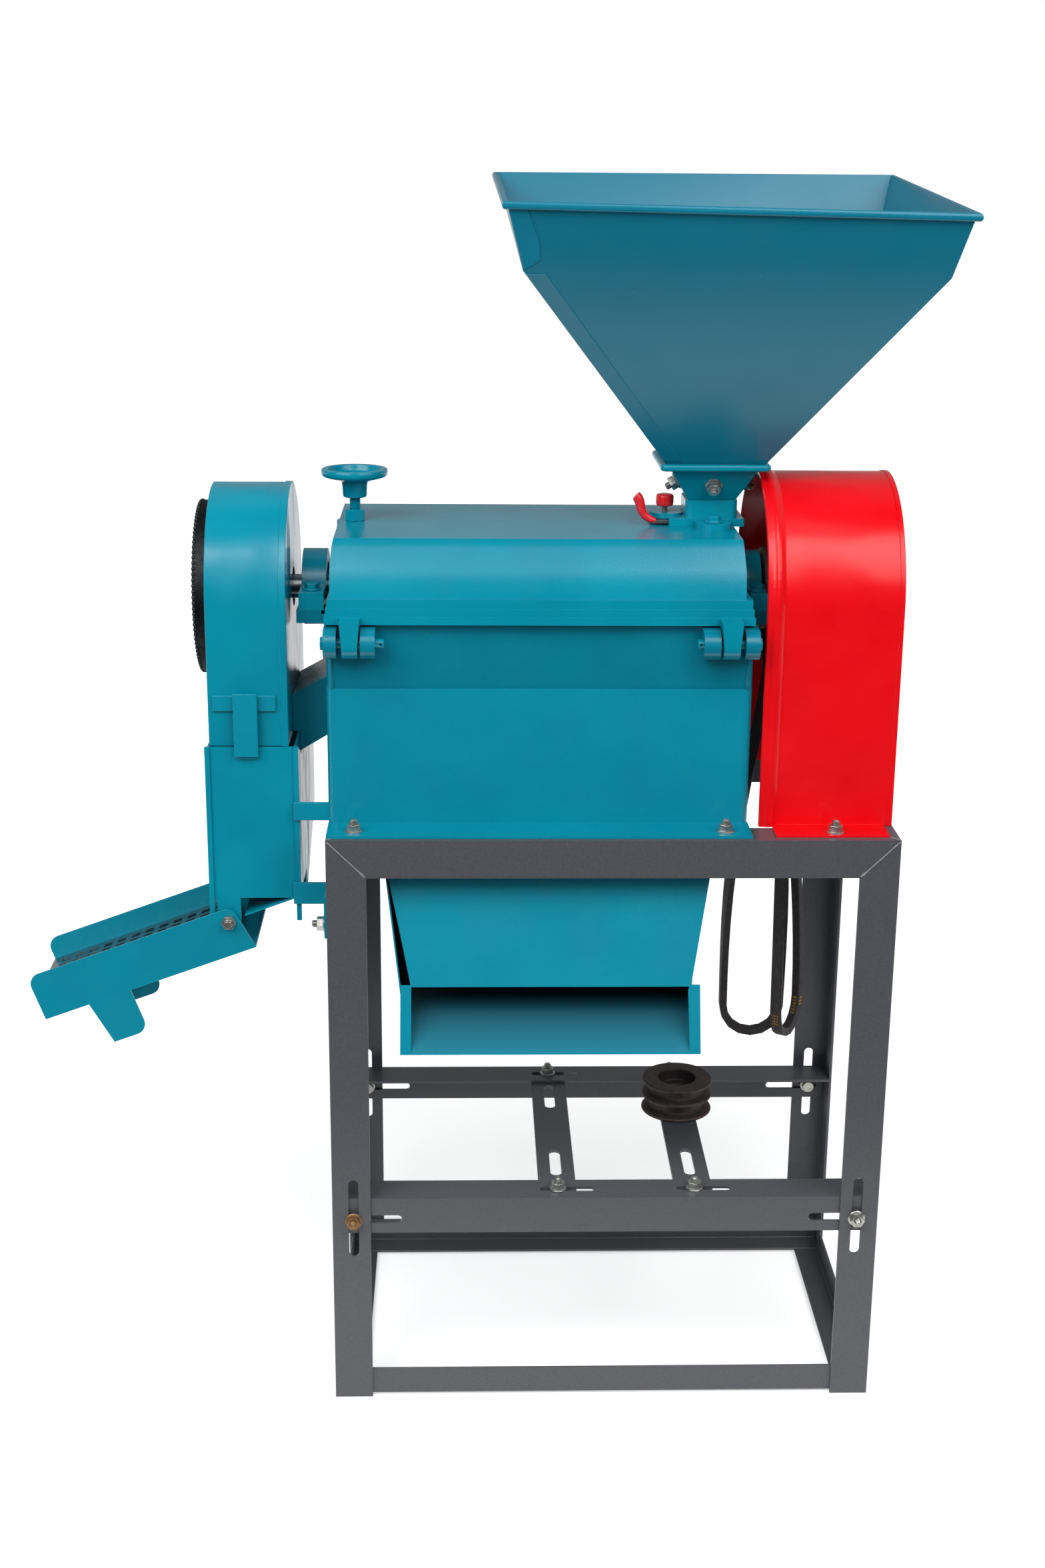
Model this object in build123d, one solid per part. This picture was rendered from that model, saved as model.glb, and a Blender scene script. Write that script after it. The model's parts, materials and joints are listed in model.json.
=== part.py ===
from build123d import *
import math
import os

os.makedirs("parts", exist_ok=True)

# Rice huller on an angle-iron stand, in millimetres.
# X runs to the belt guard, Y away from the hinge side and Z up.
# While it is built, X is zero at the middle of the stand, Y at its front face and Z at its top face,
# so a taller stand lifts the whole mill.

# Stand: equal angle iron, mitred and welded at the top corners.
stand_width = 575.0
stand_depth = 334.0
stand_height = 633.0
angle_leg = 40.0
angle_wall = 3.0
lower_leg = 30.0
lower_lift = 3.0
post_slot_length = 89.0
post_slot_width = 10.5
post_slot_drop = 418.5
post_slot_inset = 17.7

# Motor base: two cross rails that move up and down in the posts, and two motor rails under them.
cross_top_drop = 397.0
cross_bolt_drop = 24.0
cross_end_slot = 61.0
cross_slot_width = 9.0
cross_flange_slot = 58.0
cross_slot_row = 20.0
motor_rail_width = 40.0
motor_rail_wall = 4.0
motor_rail_left_x = -50.0
motor_rail_right_x = 95.0
motor_slot_length = 60.0
motor_slot_width = 12.0
motor_slot_front = 90.5
motor_slot_rear = 255.5
motor_slot_shift = 10.0

# Clearances.
body_gap = 0.3
running_gap = 0.05
cut_over = 2.0

# M8 flange fasteners, M6 and M12 threads.
m8_radius = 4.0
m8_hole = 4.5
m8_across_flats = 13.0
m8_head = 5.3
m8_nut = 6.5
m8_flange_radius = 8.9
m8_flange = 1.5
m8_tail = 5.0
m6_radius = 3.0
m12_radius = 6.0
m12_across_flats = 19.0
m12_nut = 12.0

# Mill body.
mill_left = -282.5
mill_right = 134.4
mill_front = 47.0
mill_rear = 287.0
skirt_height = 143.0
casting_height = 67.0
casting_wall = 7.0
casting_proud = 1.5
deck_wall = 14.0
sheet_wall = 3.0
base_flange = 42.0
corner_radius = 10.0
base_bolt_left = -260.0
base_bolt_right = 113.0
base_bolt_row = 20.0

# Shaft and milling chamber.
shaft_y = 167.0
shaft_rise = 12.0
shaft_radius = 12.5
shaft_seat_radius = 15.0
chamber_radius = 52.0
chamber_wall = 7.0
chamber_left = -235.0
chamber_right = 124.0
roller_left = -228.0
roller_right = 30.0
roller_radius = 34.0
rib_radius = 40.0
rib_width = 8.0
rib_count = 6
screw_right = 119.0
screw_core = 22.0
screw_flight = 8.0
screw_starts = 3
screw_twist = 150.0
base_shaft_relief = 16.0
cover_shaft_relief = 22.0
sieve_wall = 1.6
sieve_left = -185.0
sieve_right = 35.0
sieve_half_angle = 62.0
sieve_lip = 6.0
sieve_slot_width = 3.0
sieve_slot_length = 26.0
sieve_slot_columns = 6
sieve_slot_rows = 5
sieve_slot_step = 20.0
knife_wall = 6.0
knife_depth = 50.0
knife_reach = 44.0
knife_screw_row = 26.0
knife_screws = 3

# Rice outlet gate with its handwheel, at the left end of the cover.
outlet_left = -273.0
outlet_half = 47.0
outlet_top_drop = 12.0
gate_half = 44.0
gate_wall = 6.0
gate_shelf = 10.0
gate_cut_radius = 20.0
gate_rest_lift = 8.0
gate_top_drop = 21.0
handwheel_x = -261.5
handwheel_radius = 34.0
handwheel_rim = 3.2
handwheel_rim_rise = 50.0
handwheel_hub_radius = 13.0
handwheel_hub_rise = 24.0
handwheel_hub_height = 16.0
handwheel_web = 4.0
handwheel_holes = 4
handwheel_hole_radius = 5.0

# Hinged cover.
cover_height = 81.0
cover_top_left = -278.0
cover_top_right = 128.0
cover_foot_left = -287.0
cover_foot_right = 137.0
cover_foot_front = 35.0
cover_foot_rear = 299.0
cover_rib_rises = (8.0, 16.0, 25.0)
cover_rib_step = 1.5
cover_waist_step = 4.5
cover_flank_step = 3.0
cover_shoulder_step = 9.0
cover_crown_inset = 28.0
cover_shoulder_drop = 28.0
cover_crown_drop = 9.0
cover_wall = 7.0
hinge_y = 30.0
hinge_drop = 17.0
hinge_radius = 15.0
hinge_pin_radius = 5.0
hinge_pin_head = 6.5
hinge_ear_gap = 0.5
hinge_spans = ((-284.8, -271.4, -251.6, -236.6, -290.5, -228.0),
               (85.0, 102.0, 123.0, 137.7, 80.0, 143.0))

# Feed neck, collar and hopper.
feed_x = 102.0
feed_hole = 44.0
neck_half_x = 26.5
neck_half_y = 27.0
neck_flange_left = 58.7
neck_flange_right = 135.0
neck_flange_half = 30.0
neck_flange = 8.0
neck_height = 26.0
neck_fillet = 7.0
neck_ear_radius = 18.0
neck_ear_y = 45.0
neck_ear_wall = 7.0
clamp_ear_x = 58.0
clamp_ear_radius = 17.0
clamp_ear_wall = 5.0
funnel_height = 33.0
funnel_low_half = 24.0
funnel_top_half = 44.0
funnel_wall = 3.0
feed_plate_wall = 3.0
feed_plate_half = 26.0
feed_plate_left = 42.0
feed_plate_right = 129.0
feed_plate_lift = 2.3
grip_y = 144.0
grip_stem_radius = 3.9
grip_tip_radius = 4.6
grip_start_inset = 2.3
grip_start_rise = 0.9
grip_bend_reach = 9.2
grip_bend_rise = 13.8
grip_tip_reach = 13.8
grip_tip_rise = 23.0
clamp_knob_radius = 8.3
clamp_knob_rise = 19.0
clamp_knob_height = 12.0
clamp_knob_round = 1.15
collar_half = 55.5
collar_height = 7.0
collar_round = 2.8
collar_skirt = 30.0
collar_wall = 2.0
funnel_bolt_drop = 17.0
hopper_throat_half = 50.0
hopper_fold_rise = 195.0
hopper_fold_half_x = 192.5
hopper_fold_half_y = 169.0
hopper_rim_rise = 259.0
hopper_rim_half_x = 212.0
hopper_rim_half_y = 188.5
hopper_lean = 4.4
hopper_tilt = 1.3
hopper_wall = 1.5
hopper_bead = 4.0

# Bran chute under the mill.
chute_top_left = -236.0
chute_top_right = 110.0
chute_top_front = 48.0
chute_top_rear = 286.0
chute_mouth_left = -205.0
chute_mouth_right = 81.0
chute_mouth_front = -30.0
chute_mouth_back = -5.0
chute_mouth_low = -229.0
chute_mouth_high = -148.0
chute_wall = 2.0
chute_lip = 9.0
chute_over_share = 0.05

# Fan casing on the left end, with its inlet guard.
fan_left = -406.0
fan_right = -326.0
fan_radius = 107.0
fan_wall = 2.5
fan_inlet_radius = 72.0
fan_hub_radius = 22.0
fan_shaft_hole = 20.0
inlet_ring_radius = 88.5
inlet_ring_depth = 14.0
inlet_ring_wall = 2.5
mesh_wire = 1.2
mesh_bars = 9
impeller_radius = 92.0
impeller_left = -392.0
impeller_right = -344.0
impeller_blades = 6
impeller_blade_wall = 3.0

# Lower duct box, spout, straps and brackets.
duct_left = -408.0
duct_right = -319.0
duct_front = 57.0
duct_rear = 300.0
duct_top = 80.0
duct_front_low = -81.0
duct_tip = -105.0
duct_rear_fold = -50.0
duct_mouth_rear = 175.0
duct_mouth_low = -110.0
duct_wall = 2.0
duct_side_low = -85.0
duct_guide_reach = 54.0
duct_guide_drop = 20.0
duct_lug_radius = 12.0
duct_hem = 5.0
spout_half = 50.0
spout_in_low = 81.0
spout_in_high = 143.0
spout_out_low = 55.0
spout_out_high = 119.0
clip_left = -401.0
clip_right = -338.0
clip_low = 117.0
clip_high = 133.0
clip_wall = 3.0
clip_strip_left = -380.0
clip_strip_right = -356.0
clip_strip_low = 71.0
strap_low = 4.0
strap_high = 23.0
bracket_low = -86.0
bracket_high = -63.0
bracket_tab_low = -107.0
bracket_tab_front = 8.0
bracket_tab_width = 24.0

# Grading tray that hangs under the duct.
tray_pivot_x = -391.0
tray_pivot_z = -105.0
tray_slope = 20.0
tray_front = 52.0
tray_width = 110.0
tray_wall = 2.0
tray_height = 49.5
tray_right_reach = 15.8
tray_left_reach = 219.0
tray_pivot_depth = 13.7
tray_corner = 12.0
tray_mesh_drop = 24.0
tray_mesh_wall = 2.0
tray_mesh_columns = 12
tray_mesh_rows = 6
tray_mesh_margin = 8.0
tray_mesh_bar_share = 0.4
tray_tab_near = 124.0
tray_tab_far = 171.0
tray_tab_drop = 48.0
tray_tab_lean = 9.0

# Belt guard.
guard_left = 150.0
guard_right = 286.0
guard_bead = 13.0
guard_bead_step = 3.0
guard_radius = 121.0
guard_wall = 2.0
guard_flange_left = 163.0
guard_flange_right = 277.0
guard_flange_reach = 37.0
guard_bolt_x = 224.0
vent_radius = 62.0
vent_ring = 7.0
vent_ring_wall = 2.5

# Bearings, pulleys and belts.
bearing_left_low = -315.0
bearing_left_high = -290.0
bearing_right_low = 138.0
bearing_right_high = 155.0
bearing_ring_radius = 39.5
bearing_outer = 26.0
bearing_width = 15.0
bearing_shield_radius = 22.1
bearing_race_radius = 16.1
bearing_shield_depth = 1.0
bearing_foot_half = 82.0
bearing_foot_rise = 4.0
bearing_foot_height = 18.0
bearing_shelf_drop = 9.0
bearing_bolt_reach = 66.0
pulley_left = 158.0
pulley_right = 198.0
pulley_radius = 42.5
groove_depth = 9.5
groove_top_half = 7.1
groove_bottom_half = 4.5
groove_left_x = 170.0
groove_right_x = 187.0
belt_top_half = 6.5
belt_low_half = 4.2
belt_height = 8.0
belt_outer = 42.0
belt_bottom_radius = 27.0
belt_bottom_z = -282.0
belt_steps = 14
belt_arc_steps = 8
belt_inner_turn = -90.0
belt_inner_shift = -2.0
belt_outer_turn = -29.0
belt_outer_shift = 21.0
loose_pulley_radius = 40.0
loose_pulley_height = 39.0
loose_pulley_y = 224.0
loose_pulley_recess = 21.5
loose_pulley_recess_depth = 14.0
loose_pulley_bore = 11.0

# Swing bolt that locks the cover at the rear; it hangs open.
swing_x = -74.0
swing_ear_half = 14.0
swing_ear_wall = 8.0
swing_pin_drop = 43.0
swing_pin_radius = 4.0
swing_pin_reach = 16.0
swing_length = 92.0
swing_radius = 5.0
swing_eye_radius = 9.0
swing_nut_seat = 70.0
swing_wing_half = 20.0

# Heights and places that follow from the ones above.
stand_top = 0.0
floor_z = -stand_height
half_width = stand_width / 2
post_slot_x = -half_width + angle_leg - post_slot_inset
cross_top = stand_top - cross_top_drop
cross_front = angle_wall + body_gap
cross_end = half_width - angle_wall - body_gap
cross_bolt_z = cross_top - cross_bolt_drop
cross_slot_x = post_slot_x + cross_end_slot / 2 - post_slot_width
motor_row_front = cross_front + cross_slot_row
motor_rail_top = cross_top - angle_wall - body_gap

skirt_top = stand_top + skirt_height
deck_top = skirt_top + casting_height
shaft_z = deck_top + shaft_rise
hinge_z = deck_top - hinge_drop
swing_pin_y = mill_rear + swing_pin_reach
swing_pin_z = deck_top - swing_pin_drop
bearing_foot_low = deck_top + bearing_foot_rise
bearing_foot_high = bearing_foot_low + bearing_foot_height
bearing_shelf_low = deck_top - bearing_shelf_drop
sieve_half_width = (chamber_radius * math.sin(math.radians(sieve_half_angle))) - sieve_lip
knife_front = shaft_y + knife_reach
knife_low = deck_top - knife_wall - body_gap
knife_step = (sieve_right - sieve_left) / knife_screws
knife_screw_places = [sieve_left + (index + 0.5) * knife_step for index in range(knife_screws)]
shaft_left = impeller_left - m8_head
shaft_right_end = pulley_right + m8_head

cover_low = deck_top + body_gap
cover_top = deck_top + cover_height
cover_rib_levels = [deck_top + rise for rise in cover_rib_rises]
cover_shoulder = cover_top - cover_shoulder_drop
cover_crown = cover_top - cover_crown_drop
outlet_top = cover_top - outlet_top_drop
gate_top = cover_top - gate_top_drop
gate_right = chamber_left - cut_over
gate_left = handwheel_x - m12_radius - casting_proud
handwheel_rim_z = cover_top + handwheel_rim_rise
handwheel_hub_low = cover_top + handwheel_hub_rise
handwheel_hub_high = handwheel_hub_low + handwheel_hub_height

neck_flange_top = cover_top + neck_flange
neck_top = cover_top + neck_height
funnel_top = neck_top + funnel_height
funnel_angle = math.degrees(math.atan2(funnel_top_half - funnel_low_half, funnel_height))
funnel_bolt_half = funnel_top_half - funnel_bolt_drop * math.tan(math.radians(funnel_angle))
funnel_wall_true = funnel_wall * math.cos(math.radians(funnel_angle))
feed_slot_low = cover_top + feed_plate_lift - body_gap
feed_slot_high = feed_slot_low + feed_plate_wall + 2 * body_gap
clamp_knob_low = cover_top + clamp_knob_rise
clamp_knob_high = clamp_knob_low + clamp_knob_height
hopper_base = funnel_top + collar_height

tray_rear = tray_front + tray_width
bracket_bolt_y = bracket_tab_front + bracket_tab_width / 2
bracket_bolt_z = bracket_tab_low + m8_flange_radius + body_gap + m8_flange

root_middle = (Align.CENTER, Align.CENTER, Align.MIN)
low_corner = (Align.MIN, Align.MIN, Align.MIN)


def block(x_low, x_high, y_low, y_high, z_low, z_high):
    """A box between two corners."""
    size = (x_high - x_low, y_high - y_low, z_high - z_low)
    return Pos(x_low, y_low, z_low) * Box(*size, align=low_corner)


def rod_x(radius, x_low, x_high, y, z):
    return Pos(x_low, y, z) * Rot(0, 90, 0) * Cylinder(radius, x_high - x_low, align=root_middle)


def rod_y(radius, y_low, y_high, x, z):
    return Pos(x, y_low, z) * Rot(-90, 0, 0) * Cylinder(radius, y_high - y_low, align=root_middle)


def rod_z(radius, z_low, z_high, x, y):
    return Pos(x, y, z_low) * Cylinder(radius, z_high - z_low, align=root_middle)


def polygon(points, radius=0):
    """A flat face from its corners, rounded where a radius is given."""
    face = make_face(Polyline(*points, close=True))
    return fillet(face.vertices(), radius) if radius else face


def along_x(face, x_low, x_high):
    """Extrude a face drawn in Y and Z."""
    plane = Plane(origin=(x_low, 0, 0), x_dir=(0, 1, 0), z_dir=(1, 0, 0))
    return extrude(plane * face, x_high - x_low)


def along_y(face, y_low, y_high):
    """Extrude a face drawn in X and Z."""
    plane = Plane(origin=(0, y_high, 0), x_dir=(1, 0, 0), z_dir=(0, -1, 0))
    return extrude(plane * face, y_high - y_low)


def along_z(face, z_low, z_high):
    return extrude(Pos(0, 0, z_low) * face, z_high - z_low)


def slot_face(length, width, x, y, turn=0):
    return Pos(x, y) * Rot(0, 0, turn) * SlotOverall(length, width)


def solids_of(*shapes):
    """One node made of separate solids."""
    return Compound(children=[solid for shape in shapes for solid in shape.solids()])


def hexagon(across_flats, low, high):
    return extrude(Pos(0, 0, low) * RegularPolygon(across_flats / 2, 6, major_radius=False), high - low)


def m8_fastener(grip, tail=m8_tail):
    """Flange bolt from below with its flange nut run up on it; the grip starts at zero."""
    bolt = rod_z(m8_radius, -m8_flange, grip + m8_nut + m8_flange + tail, 0, 0)
    head = hexagon(m8_across_flats, -m8_flange - m8_head, -m8_flange)
    nut = hexagon(m8_across_flats, grip + m8_flange, grip + m8_flange + m8_nut)
    washers = rod_z(m8_flange_radius, -m8_flange, 0, 0, 0) + rod_z(m8_flange_radius, grip, grip + m8_flange, 0, 0)
    return bolt + head + nut + washers


def m8_screw(depth):
    """Flange screw, its seat at zero and its thread downwards."""
    return (rod_z(m8_radius, -depth, m8_flange, 0, 0) + rod_z(m8_flange_radius, 0, m8_flange, 0, 0)
            + hexagon(m8_across_flats, m8_flange, m8_flange + m8_head))


# Stand.
def front_left_mitre(keep):
    """What a member loses at the front left top corner: all that lies nearer to another member."""
    lean_box = angle_leg + cut_over
    x0 = -half_width
    z0 = stand_top
    near_post = along_y(polygon([(x0, z0), (x0, z0 - lean_box), (x0 + lean_box, z0 - lean_box)]), 0, lean_box)
    near_beam = along_y(polygon([(x0, z0), (x0 + lean_box, z0), (x0 + lean_box, z0 - lean_box)]), 0, lean_box)
    deep_post = along_x(polygon([(0, z0), (0, z0 - lean_box), (lean_box, z0 - lean_box)]), x0, x0 + lean_box)
    deep_side = along_x(polygon([(0, z0), (lean_box, z0), (lean_box, z0 - lean_box)]), x0, x0 + lean_box)
    plan_front = along_z(polygon([(x0, 0), (x0 + lean_box, 0), (x0 + lean_box, lean_box)]), z0 - lean_box, z0)
    plan_side = along_z(polygon([(x0, 0), (x0, lean_box), (x0 + lean_box, lean_box)]), z0 - lean_box, z0)
    losses = {"post": near_beam + deep_side, "front": near_post + plan_side, "side": deep_post + plan_front}
    return losses[keep]


def mirrored(shape, to_right, to_rear):
    """Copy a front left member to another corner of the stand."""
    if to_right:
        shape = mirror(shape, Plane.YZ)
    if to_rear:
        shape = mirror(shape, Plane(origin=(0, stand_depth / 2, 0), z_dir=(0, 1, 0)))
    return shape


def post_front_left():
    outer = block(-half_width, -half_width + angle_leg, 0, angle_leg, floor_z, stand_top)
    inner = block(-half_width + angle_wall, half_width, angle_wall, stand_depth, floor_z - cut_over,
                  stand_top + cut_over)
    slot = slot_face(post_slot_length, post_slot_width, post_slot_x, stand_top - post_slot_drop, 90)
    return outer - inner - along_y(slot, -cut_over, angle_wall + cut_over) - front_left_mitre("post")


def top_beam_front():
    outer = block(-half_width, half_width, 0, angle_leg, stand_top - angle_leg, stand_top)
    inner = block(-stand_width, stand_width, angle_wall, stand_depth, floor_z, stand_top - angle_wall)
    loss = front_left_mitre("front")
    beam = outer - inner - loss - mirror(loss, Plane.YZ)
    for x in (base_bolt_left, base_bolt_right, guard_bolt_x):
        beam -= rod_z(m8_hole, stand_top - angle_leg, stand_top + cut_over, x, base_bolt_row)
    return beam


def top_beam_left():
    outer = block(-half_width, -half_width + angle_leg, 0, stand_depth, stand_top - angle_leg, stand_top)
    inner = block(-half_width + angle_wall, half_width, -cut_over, stand_depth + cut_over, floor_z,
                  stand_top - angle_wall)
    loss = front_left_mitre("side")
    return outer - inner - loss - mirrored(loss, False, True)


def lower_rails():
    """Four lower rails, their flanges down and inwards."""
    low = floor_z + lower_lift
    high = low + lower_leg
    front = angle_wall
    back = angle_wall + lower_leg
    x_end = half_width - angle_wall
    rail = block(-x_end, x_end, front, back, low, high)
    rail -= block(-stand_width, stand_width, front + angle_wall, stand_depth, low + angle_wall, stand_top)
    side = block(-x_end, -x_end + lower_leg, back, stand_depth - back, low, high)
    side -= block(-x_end + angle_wall, 0, 0, stand_depth, low + angle_wall, stand_top)
    return solids_of(rail, mirrored(rail, False, True), side, mirrored(side, True, False))


# Motor base.
def cross_rail_front():
    rail = block(-cross_end, cross_end, cross_front, cross_front + angle_leg, cross_top - angle_leg, cross_top)
    rail -= block(-stand_width, stand_width, cross_front + angle_wall, stand_depth, floor_z, cross_top - angle_wall)
    for x in (cross_slot_x, -cross_slot_x):
        slot = slot_face(cross_end_slot, cross_slot_width, x, cross_bolt_z)
        rail -= along_y(slot, cross_front - cut_over, cross_front + angle_wall + cut_over)
    for x in (motor_rail_left_x, motor_rail_right_x):
        slot = slot_face(cross_flange_slot, cross_slot_width, x + motor_slot_shift, motor_row_front)
        rail -= along_z(slot, cross_top - angle_wall - cut_over, cross_top + cut_over)
    return rail


def cross_rails():
    front = cross_rail_front()
    return solids_of(front, mirrored(front, False, True))


def cross_rail_bolts():
    """Bolts through the posts' slots, heads inside and nuts outside."""
    grip = cross_front + angle_wall + body_gap
    left = Pos(post_slot_x, cross_front + angle_wall, cross_bolt_z) * Rot(90, 0, 0) * m8_fastener(grip)
    right = mirrored(left, True, False)
    return solids_of(left, right, mirrored(left, False, True), mirrored(right, False, True))


def motor_rail(x):
    end = cross_front + angle_wall + body_gap
    plate = block(x - motor_rail_width / 2, x + motor_rail_width / 2, end, stand_depth - end,
                  motor_rail_top - motor_rail_wall, motor_rail_top)
    for y in (motor_slot_front, motor_slot_rear):
        slot = slot_face(motor_slot_length, motor_slot_width, x, y, 90)
        plate -= along_z(slot, motor_rail_top - motor_rail_wall - cut_over, motor_rail_top + cut_over)
    for y in (motor_row_front, stand_depth - motor_row_front):
        plate -= rod_z(m8_hole, motor_rail_top - motor_rail_wall - cut_over, motor_rail_top + cut_over, x, y)
    return plate


def motor_rail_bolts(x):
    seat = motor_rail_top - motor_rail_wall
    grip = cross_top + body_gap - seat
    bolts = [Pos(x, y, seat) * m8_fastener(grip) for y in (motor_row_front, stand_depth - motor_row_front)]
    return solids_of(*bolts)


def v_groove_wheel(radius, width, grooves, top_half, bottom_half, depth):
    """A grooved disc about the Z axis, from zero up; grooves are heights of the groove middles."""
    outline = [(0, 0), (radius, 0)]
    for middle in grooves:
        outline += [(radius, middle - top_half), (radius - depth, middle - bottom_half)]
        outline += [(radius - depth, middle + bottom_half), (radius, middle + top_half)]
    outline += [(radius, width), (0, width)]
    return revolve(Plane.XZ * make_face(Polyline(*outline, close=True)), Axis.Z)


def loose_pulley():
    """Spare motor pulley, lying on the right motor rail."""
    edge = (loose_pulley_height - 4 * groove_top_half) / 3
    middles = (edge + groove_top_half, 2 * edge + 3 * groove_top_half)
    wheel = v_groove_wheel(loose_pulley_radius, loose_pulley_height, middles,
                           groove_top_half, groove_bottom_half, groove_depth)
    wheel -= rod_z(loose_pulley_bore, -cut_over, loose_pulley_height + cut_over, 0, 0)
    wheel -= rod_z(loose_pulley_recess, loose_pulley_height - loose_pulley_recess_depth,
                   loose_pulley_height + cut_over, 0, 0)
    return Pos(motor_rail_right_x, loose_pulley_y, motor_rail_top) * wheel


# Mill body.
def rounded_ring(x_low, x_high, y_low, y_high, radius, wall):
    """Walls of a box seen from above, with round corners."""
    middle = Pos((x_low + x_high) / 2, (y_low + y_high) / 2)
    outer = middle * RectangleRounded(x_high - x_low, y_high - y_low, radius)
    inner = middle * RectangleRounded(x_high - x_low - 2 * wall, y_high - y_low - 2 * wall, radius - wall)
    return outer - inner


def base_skirt():
    """Sheet-metal box that carries the mill, with feet turned out at the front and rear."""
    wall = along_z(rounded_ring(mill_left, mill_right, mill_front, mill_rear, corner_radius, sheet_wall),
                   stand_top, skirt_top)
    foot_end = mill_front - base_flange
    foot = block(mill_left, mill_right, foot_end, mill_front + sheet_wall, stand_top, stand_top + sheet_wall)
    for x in (base_bolt_left, base_bolt_right):
        foot -= rod_z(m8_hole, stand_top - cut_over, stand_top + sheet_wall + cut_over, x, base_bolt_row)
    feet = foot + mirror(foot, Plane(origin=(0, shaft_y, 0), z_dir=(0, 1, 0)))
    spout_room = spout_half - duct_wall
    opening = block(mill_left - cut_over, mill_left + corner_radius, shaft_y - spout_room, shaft_y + spout_room,
                    spout_in_low + duct_wall, spout_in_high - duct_wall)
    room = block(mill_left + sheet_wall, mill_right - sheet_wall, mill_front + sheet_wall, mill_rear - sheet_wall,
                 stand_top - cut_over, skirt_top)
    return wall + (feet - room) - opening


def hinge_ears():
    ears = None
    for low, tongue_low, tongue_high, high, pin_low, pin_high in hinge_spans:
        for x_low, x_high in ((low, tongue_low - hinge_ear_gap), (tongue_high + hinge_ear_gap, high)):
            eye = rod_x(hinge_radius, x_low, x_high, hinge_y, hinge_z)
            web = block(x_low, x_high, hinge_y, mill_front + casting_wall, hinge_z - hinge_radius,
                        hinge_z + hinge_radius)
            ear = eye + web - rod_x(hinge_pin_radius, x_low - cut_over, x_high + cut_over, hinge_y, hinge_z)
            ears = ear if ears is None else ears + ear
    return ears


def bearing_shelf(x_low, x_high, seat_low, seat_high):
    """Shelf that grows out of an end wall, with raised pads for the bearing housing's feet."""
    shelf = block(x_low, x_high, shaft_y - bearing_foot_half, shaft_y + bearing_foot_half,
                  bearing_shelf_low, deck_top)
    shelf += block(seat_low, seat_high, shaft_y - bearing_foot_half, shaft_y + bearing_foot_half,
                   bearing_shelf_low, bearing_foot_low)
    shelf -= rod_x(bearing_ring_radius, x_low - cut_over, x_high + cut_over, shaft_y, shaft_z)
    middle = (seat_low + seat_high) / 2
    for y in (shaft_y - bearing_bolt_reach, shaft_y + bearing_bolt_reach):
        shelf -= rod_z(m8_radius, bearing_shelf_low - cut_over, bearing_foot_low + cut_over, middle, y)
    return shelf


def mill_base():
    """Cast box with the lower half of the milling chamber, a deck, bearing shelves and hinge ears."""
    proud = casting_proud
    outer = along_z(Pos((mill_left + mill_right) / 2, shaft_y)
                    * RectangleRounded(mill_right - mill_left + 2 * proud, mill_rear - mill_front + 2 * proud,
                                       corner_radius), skirt_top, deck_top)
    room = block(mill_left + casting_wall, mill_right - casting_wall, mill_front + casting_wall,
                 mill_rear - casting_wall, skirt_top - cut_over, deck_top - deck_wall)
    trough = rod_x(chamber_radius + chamber_wall, chamber_left, mill_right - casting_wall, shaft_y, shaft_z)
    lower_half = block(mill_left, mill_right, mill_front, mill_rear, skirt_top, deck_top)
    casting = outer - room + (trough & lower_half)
    casting -= rod_x(chamber_radius, chamber_left - cut_over, chamber_right, shaft_y, shaft_z)
    casting -= block(outlet_left, chamber_left, shaft_y - outlet_half, shaft_y + outlet_half,
                     skirt_top - cut_over, deck_top + cut_over)
    window = sieve_half_width
    casting -= block(sieve_left + sieve_lip, sieve_right - sieve_lip, shaft_y - window, shaft_y + window,
                     skirt_top - cut_over, shaft_z - chamber_radius / 2)
    casting -= rod_x(base_shaft_relief, bearing_left_low, bearing_right_high, shaft_y, shaft_z)
    casting -= block(sieve_left, sieve_right, knife_front, knife_front + knife_depth, knife_low, deck_top + cut_over)
    for x in knife_screw_places:
        casting -= rod_z(m8_radius, deck_top - deck_wall - cut_over, deck_top, x, knife_front + knife_screw_row)
    casting += hinge_ears()
    casting += bearing_shelf(bearing_left_low, mill_left, bearing_left_low, bearing_left_high)
    casting += bearing_shelf(mill_right, bearing_right_high, bearing_right_low, bearing_right_high)
    pivot = block(swing_x - swing_ear_half, swing_x + swing_ear_half, mill_rear, swing_pin_y + swing_eye_radius,
                  swing_pin_z - swing_eye_radius, swing_pin_z + swing_eye_radius)
    gap = swing_radius + body_gap
    pivot -= block(swing_x - gap, swing_x + gap, mill_rear + cut_over, stand_depth, stand_top, deck_top)
    pivot += rod_x(swing_pin_radius, swing_x - swing_ear_half, swing_x + swing_ear_half, swing_pin_y, swing_pin_z)
    return casting + pivot


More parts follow.
